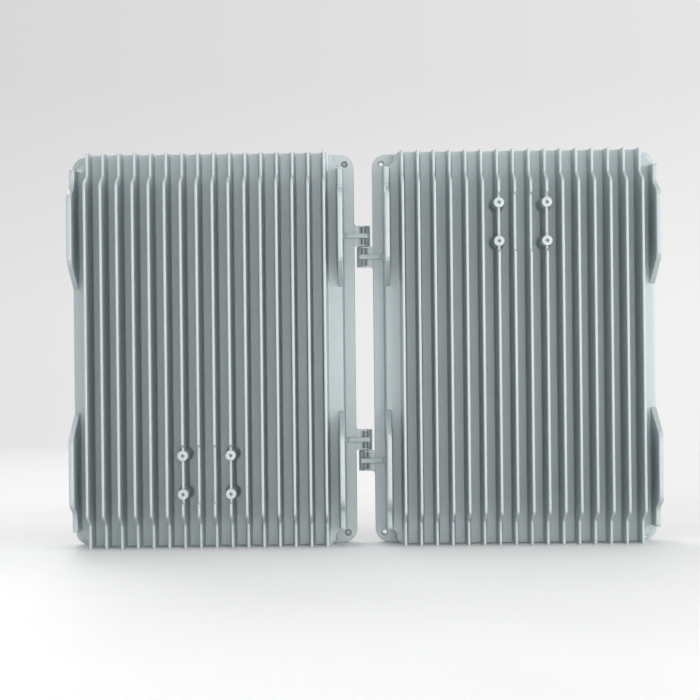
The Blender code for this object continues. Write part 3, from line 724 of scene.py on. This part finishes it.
def add_knuckles(shape):
    """Knuckles with their windows and pin bores."""
    knuckles, tool = Shape(), Shape()
    reach, bore, edge = FLANGE_HINGE_EDGE + 0.002, PIN_RADIUS + 0.0002, 0.0005
    start = math.degrees(math.asin(SEALING_FACE / HINGE_RADIUS))
    outline = arc((0, 0), HINGE_RADIUS, start, 262, 40)
    outline += [(-0.0004, -HINGE_RADIUS), (reach, -HINGE_RADIUS), (reach, SEALING_FACE)]
    window, window_corner, end_wall, past = 0.009, 0.0008, 0.0016, 0.001
    back_length, back_from = 0.007, 0.0006
    for low, high in knuckle_ranges():
        knuckles.slab(outline, low, high, edge, along="z")
        middle = (low + high) / 2
        tool.stack_z([(circle((0, 0), bore, 40), z) for z in (low - past, high + past)])
        for z_low, z_high in ((middle + RIB_HALF, high - end_wall), (low + end_wall, middle - RIB_HALF)):
            place = (0.0, (z_low + z_high) / 2)
            tool.prism(rectangle(place, window, z_high - z_low, window_corner), -0.012, 0.0)
        back = rectangle((0.0, middle), window, back_length, window_corner)
        tool.prism(back, back_from, HINGE_RADIUS + past)
    shape.copy_of(knuckles.cut(tool))


def add_webs(shape):
    """The fillet between each knuckle's outer end and the flange's edge."""
    curve, edge, overlap = 0.0036, FLANGE_HINGE_EDGE, 0.001
    front, back = FLANGE_FRONT + 0.0006, SEALING_FACE - 0.0004
    for low, _ in knuckle_ranges():
        web = [(edge - curve, low + overlap)]
        web += arc((edge - curve, low - curve), curve, 90, 0, 8)
        web += [(edge + overlap, low - curve), (edge + overlap, low + overlap)]
        shape.prism(web, front, back)


def add_ribs(shape):
    """The rib that carries each knuckle over to the wall."""
    section = [
        (-0.0068, -0.0045), (-0.0068, -0.0085), (-0.0048, -0.0105), (0.018, -0.0105),
        (0.0228, -0.0140), (0.0228, -0.0045),
    ]
    corner, bend, edge = 0.0012, 0.006, 0.0009
    side = rounded(section, [corner, corner, corner, bend, corner, corner], 4)
    for low, high in knuckle_ranges():
        middle = (low + high) / 2
        shape.slab(side, middle - RIB_HALF, middle + RIB_HALF, edge, along="z")


def add_posts(shape):
    """Screw posts that carry the board, with a blind hole in each."""
    foot, radius, hole, nick = 0.0062, 0.0045, 0.0021, GAP
    profile = (
        (foot, CAVITY_FLOOR - 0.0004), (0.0050, CAVITY_FLOOR + 0.0004), (radius, CAVITY_FLOOR + 0.0016),
        (radius, POST_TOP - nick), (radius - nick, POST_TOP), (hole + nick, POST_TOP),
        (hole, POST_TOP - nick), (hole, -0.0293),
    )
    for place in POSTS:
        shape.turned(place, profile, 28)


def add_ejector_marks(shape):
    """The faint round marks that a die's ejector pins leave on the cavity floor."""
    radius, proud, nick = 0.0046, 0.00025, 0.0001
    profile = (
        (radius, CAVITY_FLOOR - 0.0003), (radius, CAVITY_FLOOR + proud - nick),
        (radius - 3 * nick, CAVITY_FLOOR + proud),
    )
    for x in (0.075, 0.1375, 0.2005, 0.263):
        for z in (-0.183, -0.095, -0.020, 0.045, 0.158):
            shape.turned((x, z), profile, 24)


def corner_hole(threaded):
    """The (radius, y) profile of a corner hole with its recess for a screw head."""
    head, mouth, pitch, crest = 0.0034, 0.0042, 0.0006, 0.0004
    profile = [(SCREW_HOLE, 0.001), (SCREW_HOLE, SEALING_FACE - 0.0005)]
    for turn in range(3 if threaded else 0):
        level = SEALING_FACE - pitch - pitch * turn
        profile += [(SCREW_HOLE - crest, level), (SCREW_HOLE - 0.0001, level - pitch / 2)]
    profile += [(SCREW_HOLE, RECESS_FLOOR + 0.0002), (SCREW_HOLE, RECESS_FLOOR), (head, RECESS_FLOOR)]
    return profile + [(head, FLANGE_FRONT + 0.0004), (mouth, FLANGE_FRONT - 0.0004)]


def casting(half):
    """One finned half; only the base has cable ports and threads in its corner holes."""
    is_base = half == "base"
    port_radius, port_depth, port_end = 0.010, -0.016, -0.200
    tool = Shape()
    for place in SCREWS:
        tool.turned(place, corner_hole(is_base), 40)
    for x in PORTS if is_base else ():
        port = circle((x, port_depth), port_radius, 48)
        tool.stack_z([(port, z) for z in (-HALF_HEIGHT - 0.001, port_end)])
    shell = body_shell().cut(tool)
    for add in (
        add_fins, add_guards, add_bosses, add_knuckles, add_webs, add_ribs, add_posts, add_ejector_marks,
    ):
        add(shell)
    make(f"{half}_casting", half, shell, "cast", [f"{half}_housing"])


# ---- seal, pins and screws
def make_gasket():
    """A round-backed rubber cord in the base's groove."""
    half, bow_y, bow_height = 0.0013, -0.0008, 0.0010
    base = SEALING_FACE - GROOVE_DEPTH + GAP
    bow = [(math.cos(math.radians(a)), math.sin(math.radians(a))) for a in range(0, 181, 20)]
    section = [(half, base)] + [(half * c, bow_y + bow_height * s) for c, s in bow] + [(-half, base)]
    rings = [[(x, y, z) for x, z in seal_outline(offset)] for offset, y in section]
    make("seal_cord", "base", Shape().loft(rings, looped=True), "rubber", ["gasket"])


def make_pins():
    """The hinge pins, with dished ends."""
    half = KNUCKLE_LENGTH + KNUCKLE_GAP / 2 - GAP
    end = ((0.0009, 0.0), (0.0012, 0.0006), (0.0019, 0.0003), (PIN_RADIUS, 0.0009))
    profile = [(r, z - half) for r, z in end] + [(r, half - z) for r, z in reversed(end)]
    for name, middle in (("top", HINGE_MIDDLE), ("bottom", -HINGE_MIDDLE)):
        pin = Shape().stack_z([(circle((0, 0), r, 32), middle + z) for r, z in profile])
        make(f"hinge_pin_{name}_turned", "base", pin, "steel", [f"hinge_pin_{name}"])


def make_corner_screws():
    """Captive socket screws: head in the recess, thread showing behind."""
    head_base, head_top = RECESS_FLOOR - GAP, FLANGE_FRONT + 0.0008
    head, bevel, crest, root, pitch = 0.0027, 0.0003, 0.0021, 0.0018, 0.0005
    profile = [(0.0016, SEALING_FACE - 0.0003)]
    level = SEALING_FACE - 0.0006
    while level > head_base + 0.0006:
        profile += [(crest, level), (root, level - pitch / 2)]
        level -= pitch
    profile += [(crest, head_base + 0.0003), (crest, head_base), (head, head_base - 0.0001)]
    profile += [(head, head_top + 0.0004), (head - bevel, head_top)]
    socket = circle((0, 0), 0.0015, 6)
    tool = Shape().prism(socket, head_top - 0.001, head_top + 0.0014)
    screw = Shape().turned((0, 0), profile).cut(tool)
    for i, (x, z) in enumerate(SCREWS, 1):
        name = f"corner_screw_{i}"
        make(f"{name}_socket", "lid", Shape().copy_of(screw, (x, 0.0, z)), "dark_steel", [name])


def cross_outline(centre, arm, reach):
    """A plus sign whose arms are 2 * arm wide and reach out from its centre."""
    corner = ((reach, -arm), (reach, arm), (arm, arm))
    return [p for turn in range(4) for p in spun(corner, centre, 90 * turn)]


def cross_screw():
    """A pan-head screw with a cross recess and a washer, standing on y = 0."""
    shank, washer, head = 0.0016, 0.0036, 0.0031
    profile = (
        (shank, -0.007), (shank, GAP), (washer, GAP), (washer, 0.0009), (head, 0.0010),
        (head, 0.0015), (0.0028, 0.0021), (0.0020, 0.0026),
    )
    cross = cross_outline((0.0, 0.0), 0.0003, 0.0015)
    recess = Shape().stack_y([(inset(cross, 0.0001), 0.0012), (cross, 0.003)])
    return Shape().turned((0, 0), profile, 28).cut(recess)


def make_board_screws():
    """One screw for every post that a board stands on."""
    screw = cross_screw()
    for half, board, places in (("base", "power_board", POSTS), ("lid", "control_board", POSTS[:5])):
        for i, (x, z) in enumerate(places, 1):
            name = f"{board}_screw_{i}"
            make(f"{name}_cross", half, Shape().copy_of(screw, (x, BOARD_BACK, z)), "steel", [name])


# ---- parts on the boards
def moulded_case(centre, size, base, corner=0.0012, edge=0.0008, panel=0.0018):
    """A moulded box with a shallow sunk panel on top; panel is the width of its rim."""
    top, foot, dip, least_corner = base + size[1], 0.0003, 0.0003, 0.0004

    def ring(inwards):
        width, length = size[0] - 2 * inwards, size[2] - 2 * inwards
        return rectangle(centre, width, length, max(corner - inwards, least_corner), 4)

    layers = [(ring(foot), base), (ring(0.0), base + foot)]
    layers += [(ring(edge * rise), top - edge * back) for rise, back in quarter_turn(3)]
    layers += [(ring(edge + panel), top), (ring(edge + panel + dip), top - dip)]
    return Shape().stack_y(layers)


def in_row(name, count, first, pitch):
    """(name with its number, x) of the parts in a row."""
    return [(f"{name}_{i + 1}", first + i * pitch) for i in range(count)]


def make_capacitors():
    for name, x in in_row("dc_link_capacitor", 6, 0.0715, 0.039):
        case = moulded_case((x, 0.140), (0.034, 0.0195, 0.058), ON_BOARD)
        make(f"{name}_case", "base", case, "film", [name])


def make_relays():
    """A cover with a small vent pip, on a darker foot."""
    z, lift, cover_top, pip, pip_height = -0.035, 0.0035, 0.016, 0.0010, 0.0008
    for name, x in in_row("grid_relay", 4, 0.0985, 0.047):
        cover = moulded_case((x, z), (0.032, 0.0135, 0.042), ON_BOARD + lift, 0.0010, 0.0006, 0.0012)
        profile = ((pip, ON_BOARD + cover_top), (pip, ON_BOARD + cover_top + pip_height))
        cover.turned((x + 0.0125, z + 0.0165), profile, 16)
        make(f"{name}_cover", "base", cover, "plastic", [name])
        foot = Shape().box((x, z), (0.0312, 0.0036, 0.0412), ON_BOARD, 0.0008, 0.0003)
        make(f"{name}_foot", "base", foot, "resin")


def wound_ring(centre, size, turns, sectors, wire):
    """The core and the winding of a choke; each sector, from angle to angle, holds all turns."""
    outer, inner, height = size
    middle, thickness = ((outer + inner) / 2, ON_BOARD + height / 2), outer - inner

    def around(a, r, y):
        return centre[0] + r * math.cos(a), y, centre[1] + r * math.sin(a)

    room = 2 * wire + 0.0002
    section = rectangle(middle, thickness - 2 * room, height - 2 * room, 0.0018, 4)
    rings = [[around(math.tau * k / 64, r, y) for r, y in section] for k in range(64)]
    core, winding = Shape().loft(rings, looped=True), Shape()
    path = rectangle(middle, thickness - 2 * wire, height - 2 * wire, 0.0024)
    for start, end in sectors:
        line = []
        for turn in range(turns):
            for k, (r, y) in enumerate(path):
                share = (turn + k / len(path)) / turns
                line.append(around(math.radians(start + (end - start) * share), r, y))
        winding.tube(line, wire, 6)
    return core, winding


def make_chokes():
    """Two filter chokes and the common mode choke, whose windings a wall keeps apart."""
    for name, x in in_row("filter_choke", 2, 0.066, 0.206):
        core, winding = wound_ring((x, 0.060), (0.025, 0.011, 0.018), 30, [(8, 352)], 0.0010)
        make(f"{name}_core", "base", core, "core", [name])
        make(f"{name}_winding", "base", winding, "copper")
    centre = (0.169, 0.055)
    core, winding = wound_ring(centre, (0.029, 0.013, 0.019), 12, [(-75, 75), (105, 255)], 0.0012)
    make("common_mode_choke_core", "base", core, "core", ["common_mode_choke"])
    make("common_mode_choke_windings", "base", winding, "copper")
    wall = Shape().box(centre, (0.0016, 0.017, 0.0235), ON_BOARD, 0.0003, 0.0003)
    make("common_mode_choke_divider", "base", wall, "module")


def slotted_screw(centre, radius, base, top, angle):
    """A flat clamp screw with a slot turned by angle degrees."""
    bevel, slot_width, slot_depth = 0.0003, 0.0007, 0.0008
    screw = Shape().turned(centre, ((radius, base), (radius, top - bevel), (radius - bevel, top)), 24)
    slot = spun(rectangle((0.0, 0.0), 2.4 * radius, slot_width, 0.0001, 1), centre, angle)
    return screw.cut(Shape().prism(slot, top - slot_depth, top + 0.001))


def make_terminals(name, middle, width, ways):
    """A row of wire clamps with sunk slotted screws above tapered wire entries."""
    depth, height, row, past = 0.020, 0.0165, -0.137, 0.001
    entry_share, entry_level, entry_height, entry_depth, flare = 0.64, 0.007, 0.008, 0.009, 0.0007
    well_radius, well_depth, screw_radius, screw_height = 0.0034, 0.0028, 0.0029, 0.0015
    groove_width, groove_depth = 0.0005, 0.0006
    step, low, top = width / ways, row - depth / 2, ON_BOARD + height
    well = top - well_depth
    base = well + 0.0001
    body, tool, screws = Shape(), Shape(), Shape()
    body.slab(rectangle((middle, row), width, depth, 0.0008), ON_BOARD, top, 0.0006)
    for i, shift in enumerate(spread(ways, step)):
        x = middle + shift
        entry = rectangle((x, ON_BOARD + entry_level), step * entry_share, entry_height, 0.0012)
        tool.stack_z([(inset(entry, -flare), low - past), (entry, low + past), (entry, low + entry_depth)])
        spot = (x, row + 0.001)
        tool.turned(spot, ((well_radius, well), (well_radius, top + past)), 24)
        if i:
            groove = rectangle((x - step / 2, row), groove_width, depth + 2 * past, 0.0001, 1)
            tool.prism(groove, top - groove_depth, top + past)
        screws.copy_of(slotted_screw(spot, screw_radius, base, base + screw_height, 37 * i + 20))
    make(f"{name}_body", "base", body.cut(tool), "terminal", [name])
    make(f"{name}_clamp_screws", "base", screws, "steel")


def make_arrester():
    """A moulded case with three discs standing out of it."""
    x, z, disc_pitch, radius, bevel, top = 0.088, -0.092, 0.0185, 0.0082, 0.0006, ON_BOARD + 0.0183
    case = moulded_case((x, z), (0.060, 0.0165, 0.036), ON_BOARD, 0.001, 0.0006, 0.001)
    make("surge_arrester_case", "base", case, "plastic", ["surge_arrester"])
    profile = (
        (radius, ON_BOARD + 0.015), (radius, top - bevel), (radius - bevel, top), (0.003, top),
        (0.0027, top - 0.0004),
    )
    discs = Shape()
    for shift in spread(3, disc_pitch):
        discs.turned((x + shift, z), profile, 36)
    make("surge_arrester_discs", "base", discs, "ceramic")


def make_sensor():
    """A moulded case with three busbars across its top."""
    x, z, bar_pitch = 0.230, -0.092, 0.014
    case = moulded_case((x, z), (0.048, 0.015, 0.034), ON_BOARD, 0.001, 0.0006, 0.0016)
    make("current_sensor_case", "base", case, "resin", ["current_sensor"])
    bars = Shape()
    for shift in spread(3, bar_pitch):
        bar = rectangle((x + shift, z), 0.0065, 0.0335, 0.0006, 2)
        bars.slab(bar, ON_BOARD + 0.0135, ON_BOARD + 0.0149, 0.0002)
    make("current_sensor_bars", "base", bars, "copper")


def make_inductors():
    """Potted coils: a drawn can, the resin in it and two sealed lead studs."""
    width, height, length, row, stud_row = 0.060, 0.0245, 0.086, 0.105, 0.072
    wall, sunk, foot, lip, stud_pitch = 0.0012, 0.0026, 0.0008, 0.0003, 0.032
    base, top = ON_CASTING, ON_CASTING + height
    level = top - sunk
    stud = (
        (0.0040, level - 0.001), (0.0040, level + 0.0006), (0.0030, level + 0.0008),
        (0.0022, level + 0.0010), (0.0022, level + 0.0019), (0.0018, level + 0.0022),
    )
    washer = ((0.0052, level - 0.0005), (0.0052, level + 0.0003))
    for name, x in in_row("boost_inductor", 4, 0.0715, 0.0652):
        outline = rectangle((x, row), width, length, 0.004, 6)
        layers = [(inset(outline, foot), base), (outline, base + foot), (outline, top - lip)]
        layers += [(inset(outline, lip), top), (inset(outline, wall - lip), top)]
        layers += [(inset(outline, wall), top - lip), (inset(outline, wall), top - 0.006)]
        make(f"{name}_can", "lid", Shape().stack_y(layers), "can", [name])
        inner = inset(outline, wall + 0.00005)
        fill = [(inner, top - 0.0059), (inner, level + 0.0005), (inset(inner, 0.0006), level + 0.0001)]
        fill += [(inset(inner, 0.0016), level)]
        make(f"{name}_potting", "lid", Shape().stack_y(fill), "potting")
        studs = Shape()
        for shift in spread(2, stud_pitch):
            studs.turned((x + shift, stud_row), stud, 6)
            studs.turned((x + shift, stud_row), washer, 28)
        make(f"{name}_studs", "lid", studs, "solder")


def shield_can(centre, size, holes):
    """A drawn sheet-metal screen with vent holes and a stepped rim, and a black sheet under the holes that
    paints the shade inside.
    """
    outline = rectangle(centre, size[0], size[2], 0.0012)
    base, top = ON_BOARD, ON_BOARD + size[1]
    flange, step, edge = 0.0010, 0.0004, 0.0006
    depth, hole, shade_sheet_margin = size[1] * 0.6, 0.0010, 0.0025
    layers = [(outline, base), (outline, base + flange), (inset(outline, step), base + flange + 0.0002)]
    for rise, back in quarter_turn(3):
        layers.append((inset(outline, step + edge * rise), top - edge * back))
    can, tool = Shape().stack_y(layers), Shape()
    columns, rows, pitch = holes
    for along in spread(columns, pitch):
        for over in spread(rows, pitch):
            spot = (centre[0] + along, centre[1] + over)
            tool.prism(circle(spot, hole, 12), top - depth, top + 0.001)
    # a thin black sheet across the pits' floors: painted shade that stands for the dark space inside the
    # can
    shade_sheet_size = (size[0] - 2 * shade_sheet_margin, 0.0006, size[2] - 2 * shade_sheet_margin)
    painted_shade_sheet = Shape().box(centre, shade_sheet_size, top - depth - 0.0002)
    return can.cut(tool), painted_shade_sheet


def make_shields():
    for name, centre, size, holes in (
        ("processor_shield", (0.120, -0.060), (0.062, 0.006, 0.050), (11, 8, 0.0048)),
        ("radio_module", (0.070, 0.0), (0.036, 0.0045, 0.026), (5, 3, 0.0055)),
    ):
        can, painted_shade_sheet = shield_can(centre, size, holes)
        make(f"{name}_can", "lid", can, "tinplate", [name])
        # the black sheet is painted shade, seen through the vent holes
        make(f"{name}_inside", "lid", painted_shade_sheet, "resin")


def make_transformer():
    """A ferrite core round a taped coil, on a bobbin with two pin rows and two cheeks."""
    x, z = 0.235, -0.045
    corner, edge, core_base = 0.0006, 0.0004, ON_BOARD + 0.0005
    leg_pitch, row_pitch, cheek_share = 0.031, 0.033, 0.84
    core, bobbin = Shape(), Shape()
    for shift in spread(2, leg_pitch):
        core.box((x + shift, z), (0.0068, 0.0185, 0.030), core_base, corner, edge)
    core.box((x, z), (0.030, 0.004, 0.010), core_base, corner, edge)
    make("supply_transformer_core", "lid", core, "core", ["supply_transformer"])
    outline = rectangle((x, z), 0.0235, 0.026, 0.004, 6)
    coil = Shape().slab(outline, ON_BOARD + 0.003, ON_BOARD + 0.0175, 0.001)
    make("supply_transformer_coil", "lid", coil, "tape")
    for shift in spread(2, row_pitch):
        bobbin.box((x, z + shift), (0.036, 0.0062, 0.0085), ON_BOARD, corner, edge)
        bobbin.box((x, z + shift * cheek_share), (0.0265, 0.0182, 0.0014), ON_BOARD, 0.0004, 0.0002)
    make("supply_transformer_bobbin", "lid", bobbin, "resin")


def make_supply_capacitors():
    """Round cans in beaded sleeves, with a scored vent on top."""
    z, r, top = 0.006, 0.0065, ON_BOARD + 0.018
    bead, lid, lid_top, score_half, score_reach = r - 0.0005, r - 0.00145, top - 0.0001, 0.00025, 0.0038
    sleeve_profile = (
        (bead, ON_BOARD), (r, ON_BOARD + 0.0005), (r, ON_BOARD + 0.0016), (bead, ON_BOARD + 0.0022),
        (bead, ON_BOARD + 0.0028), (r, ON_BOARD + 0.0034), (r, top - 0.0010), (r - 0.0002, top - 0.0004),
        (r - 0.0008, top), (r - 0.0013, top), (r - 0.0015, top - 0.0004),
    )
    lid_profile = ((lid, top - 0.001), (lid, top - 0.0003), (lid - 0.0003, lid_top))
    for name, x in in_row("supply_capacitor", 3, 0.200, 0.018):
        make(f"{name}_sleeve", "lid", Shape().turned((x, z), sleeve_profile), "resin", [name])
        tool = Shape().prism(cross_outline((x, z), score_half, score_reach), top - 0.0004, top + 0.001)
        make(f"{name}_vent", "lid", Shape().turned((x, z), lid_profile).cut(tool), "can")


def make_link_connector():
    """A keyed shroud round two rows of pins."""
    x, z, height, pitch = 0.169, -0.118, 0.010, 0.00254
    shroud = Shape().box((x, z), (0.070, height, 0.012), ON_BOARD, 0.0008, 0.0004)
    pocket = rectangle((x, z), 0.066, 0.0084, 0.0006, 2)
    key = rectangle((x, z - 0.005), 0.006, 0.004, 0.0003, 2)
    for outline, floor in ((pocket, 0.0022), (key, 0.004)):
        shroud.cut(Shape().prism(outline, ON_BOARD + floor, ON_BOARD + height + 0.002))
    make("link_connector_shroud", "lid", shroud, "plastic", ["link_connector"])
    pins = Shape()
    for along in spread(24, pitch):
        for over in spread(2, pitch):
            pins.chip((x + along, z + over), (0.0007, 0.0074, 0.0007), ON_BOARD + 0.0018)
    make("link_connector_pins", "lid", pins, "solder")


CELL = (0.0150, 0.0125)     # room for one small circuit, along x and along z
PASSIVES = ((0.0020, 0.00125), (0.0032, 0.0016))


class Circuits:
    """The small parts of one board, in cells that each hold one small circuit."""

    def __init__(self, seed):
        self.dice = random.Random(seed)
        self.chips, self.bodies, self.pads = Shape(), Shape(), Shape()
        self.middle, self.across = (0.0, 0.0), False

    def chance(self, share):
        return self.dice.random() < share

    def put(self, target, offset, size):
        """A block at offset from the cell's middle; size is (along, up, over)."""
        (along, over), (length, height, width) = offset, size
        if self.across:
            along, over, length, width = over, along, width, length
        target.chip((self.middle[0] + along, self.middle[1] + over), (length, height, width), BOARD_BACK)

    def passive(self, along, over, upright=False):
        """A resistor or capacitor between its two solder ends."""
        length, width = self.dice.choice(PASSIVES)
        body = self.bodies if self.chance(0.5) else self.chips
        parts = [(body, 0.0, length * 0.6, width, 0.0009)]
        for side in (-1, 1):
            parts.append((self.pads, side * length * 0.42, length * 0.28, width * 1.06, 0.00095))
        for target, shift, long, wide, height in parts:
            if upright:
                self.put(target, (along, over + shift), (wide, height, long))
            else:
                self.put(target, (along + shift, over), (long, height, wide))

    def leads(self, count, pitch, reach, size, upright=False):
        """Two rows of leads, on both sides of a chip."""
        for along in spread(count, pitch):
            for over in (-reach, reach):
                offset = (along, over)
                self.put(self.pads, offset[::-1] if upright else offset, size[::-1] if upright else size)

    def dual_chip(self):
        """A chip with leads on two sides and a few passives along it."""
        count, pitch = self.dice.choice((4, 7, 8)), 0.00127
        self.put(self.chips, (0.0, 0.0), (count * pitch, 0.0016, 0.0040))
        self.leads(count, pitch, 0.0026, (0.0005, 0.0006, 0.0013))
        for along in spread(3, 0.0042)[:self.dice.choice((1, 2, 3))]:
            self.passive(along, 0.0050)

    def quad_chip(self):
        """A square chip with leads on all sides and passives beside it."""
        self.put(self.chips, (0.0, 0.0), (0.0070, 0.0013, 0.0070))
        for upright in (False, True):
            self.leads(9, 0.00065, 0.0040, (0.0003, 0.0005, 0.0011), upright)
        for over in spread(3, 0.0032):
            for along in spread(2, 0.0116):
                if self.chance(0.7):
                    self.passive(along, over, upright=True)

    def discrete_parts(self):
        """Loose passives, all turned the same way."""
        upright = self.chance(0.5)
        for along in spread(3, 0.0048):
            for over in spread(3, 0.0038):
                if self.chance(0.6):
                    self.passive(along, over, upright)

    def coil_stage(self):
        """A shielded coil between its two ends, with three passives."""
        coil, ends, beside = -0.0026, 0.0062, 0.0040
        self.put(self.chips, (coil, 0.0), (0.0060, 0.0030, 0.0060))
        for shift in spread(2, ends):
            self.put(self.pads, (coil + shift, 0.0), (0.0008, 0.0007, 0.0040))
        for over in spread(3, 0.0034):
            self.passive(beside, over)

    def fill(self, middle):
        """One circuit of a random kind, lying along or across; a few cells stay empty."""
        self.middle, self.across = middle, self.chance(0.4)
        # the two kinds that stand here twice come up twice as often
        kinds = (
            self.dual_chip, self.dual_chip, self.quad_chip, self.discrete_parts, self.discrete_parts,
            self.coil_stage,
        )
        if self.chance(0.88):
            self.dice.choice(kinds)()


def scatter(half, prefix, areas, seed):
    """Fills free areas of a board, each (x_low, x_high, z_low, z_high), with small circuits."""
    circuits = Circuits(seed)
    for x_low, x_high, z_low, z_high in areas:
        width, length = x_high - x_low, z_high - z_low
        columns, rows = int(width / CELL[0] + 0.01), int(length / CELL[1] + 0.01)
        for column in range(columns):
            x = x_low + width * (column + 0.5) / columns
            for row in range(rows):
                circuits.fill((x, z_low + length * (row + 0.5) / rows))
    make(f"{prefix}_small_chips", half, circuits.chips, "resin")
    make(f"{prefix}_small_ceramics", half, circuits.bodies, "ceramic")
    make(f"{prefix}_solder_pads", half, circuits.pads, "solder")


def make_board_details():
    """Small parts on both boards, and the looks of the CAD nodes that show themselves."""
    scatter("base", "power_board", (
        (0.052, 0.288, -0.012, 0.022), (0.122, 0.202, -0.122, -0.060), (0.258, 0.302, -0.122, -0.015),
        (0.037, 0.052, -0.122, -0.015), (0.095, 0.136, 0.028, 0.108), (0.202, 0.243, 0.028, 0.108),
        (0.062, 0.160, 0.173, 0.190), (0.178, 0.272, 0.173, 0.190),
    ), 7)
    scatter("lid", "control_board", (
        (0.037, 0.086, -0.132, -0.020), (0.090, 0.130, -0.132, -0.090), (0.154, 0.212, -0.106, -0.032),
        (0.257, 0.302, -0.132, 0.010), (0.092, 0.190, -0.028, 0.029), (0.214, 0.254, -0.130, -0.070),
        (0.052, 0.160, -0.148, -0.135),
    ), 11)
    looks = {"power_board": "mask", "control_board": "mask"}
    for i in (1, 2, 3):
        looks.update({f"power_module_{i}": "module", f"port_plug_{i}": "plastic"})
    for name, look in looks.items():
        for slot in frame["nodes"][name].material_slots:
            slot.material = LOOKS[look]


# ---- stage, light and camera
def make_floor():
    """A pale floor that fades into the surroundings far from the object."""
    sides, radii, fade_from, fade_to = 96, (0.4, 0.8, 1.4, 2.5), 0.8, 2.4
    rings = [[(x, y, 0.0) for x, y in circle((0.0, 0.0), r, sides)] for r in radii]
    shape = Shape().loft(rings, caps=False)
    shape.faces.append(tuple(range(sides)))
    material, nodes, shader, place = new_material("pale_floor")
    tone = nodes.span(nodes.noise(place, 3.0), 0.3, 0.7, 0.0, 1.0)
    tint = nodes.mix(tone, rgba((0.90, 0.90, 0.90)), rgba((0.93, 0.93, 0.93)))
    nodes.wire(shader, Base_Color=tint, Roughness=0.6)
    fade = nodes.span(nodes.vector("LENGTH", place, "Value"), fade_from, fade_to, 0.0, 1.0)
    clear = nodes.add("ShaderNodeBsdfTransparent")
    blend = nodes.add("ShaderNodeMixShader")
    for socket, source in zip(blend.inputs, (fade, shader.outputs[0], clear.outputs[0])):
        nodes.feed(socket, source)
    nodes.wire(material.node_tree.nodes["Material Output"], Surface=blend.outputs[0])
    mesh = shape.mesh("floor")
    mesh.materials.append(material)
    new_object("floor", mesh)


def soft_light(name, position, target, size, power):
    """A round lamp that the camera itself doesn't see."""
    data = bpy.data.lights.new(name, "AREA")
    data.shape = "DISK"
    data.size = size
    data.energy = power
    lamp = new_object(name, data)
    lamp.visible_camera = False
    lamp.location = position
    aim = Vector(target) - Vector(position)
    lamp.rotation_euler = aim.to_track_quat("-Z", "Y").to_euler()


def make_light():
    """Key and side light from the right; fills near the camera, above, behind and for the floor."""
    centre, over_floor = (0.0, 0.0, 0.21), (0.0, -0.62)
    for name, position, size, power in (
        ("key", (3.4, -4.4, 0.35), 2.8, 58.0),
        ("side", (5.4, -2.0, 1.3), 2.8, 88.0),
        ("near", (0.0, -2.6, 0.14), 0.5, 5.0),
        ("near_right", (0.62, -2.6, 0.14), 0.5, 3.5),
        ("top", (0.0, -0.9, 2.6), 1.4, 2.5),
        ("back", (-1.0, 2.7, 2.2), 1.8, 26.0),
    ):
        soft_light(name, position, centre, size, power)
    soft_light("floor_light", (*over_floor, 1.5), (*over_floor, 0.0), 1.2, 0.55)
    bpy.data.lights["floor_light"].spread = math.radians(24)
    world = bpy.data.worlds.new("studio")
    bpy.context.scene.world = world
    world.use_nodes = True
    nodes = Nodes(world.node_tree)
    parts = nodes.split(nodes.add("ShaderNodeTexCoord").outputs["Generated"])
    sideways = nodes.span(parts["X"], -0.20, 0.20, 0.78, 0.90)
    upwards = nodes.span(parts["Z"], 0.02, 0.14, 1.0, 0.88)
    strength = nodes.product(sideways, upwards)
    nodes.wire(world.node_tree.nodes["Background"], Color=rgba((1.0, 1.0, 1.0)), Strength=strength)
    bpy.context.scene.view_settings.view_transform = "Standard"


def make_camera():
    """The viewing place: square on to the fins, 2 m from their tips, a little left of the hinge."""
    view = Matrix.Translation((-0.0073, -2.0415, 0.21125))
    for angle, axis in ((0.243, "Z"), (90.0, "X"), (-0.61, "Z")):
        view = view @ Matrix.Rotation(math.radians(angle), 4, axis)
    data = bpy.data.cameras.new("camera")
    data.sensor_width = 36.0
    data.lens = 96.9
    camera = new_object("camera", data)
    camera.matrix_world = view
    bpy.context.scene.camera = camera


casting("base")
casting("lid")
make_gasket()
make_pins()
make_corner_screws()
make_board_screws()
make_capacitors()
make_relays()
make_chokes()
make_terminals("dc_terminal_block", 0.106, 0.090, 6)
make_terminals("ac_terminal_block", 0.231, 0.080, 5)
make_arrester()
make_sensor()
make_inductors()
make_shields()
make_transformer()
make_supply_capacitors()
make_link_connector()
make_board_details()
make_floor()
make_light()
make_camera()
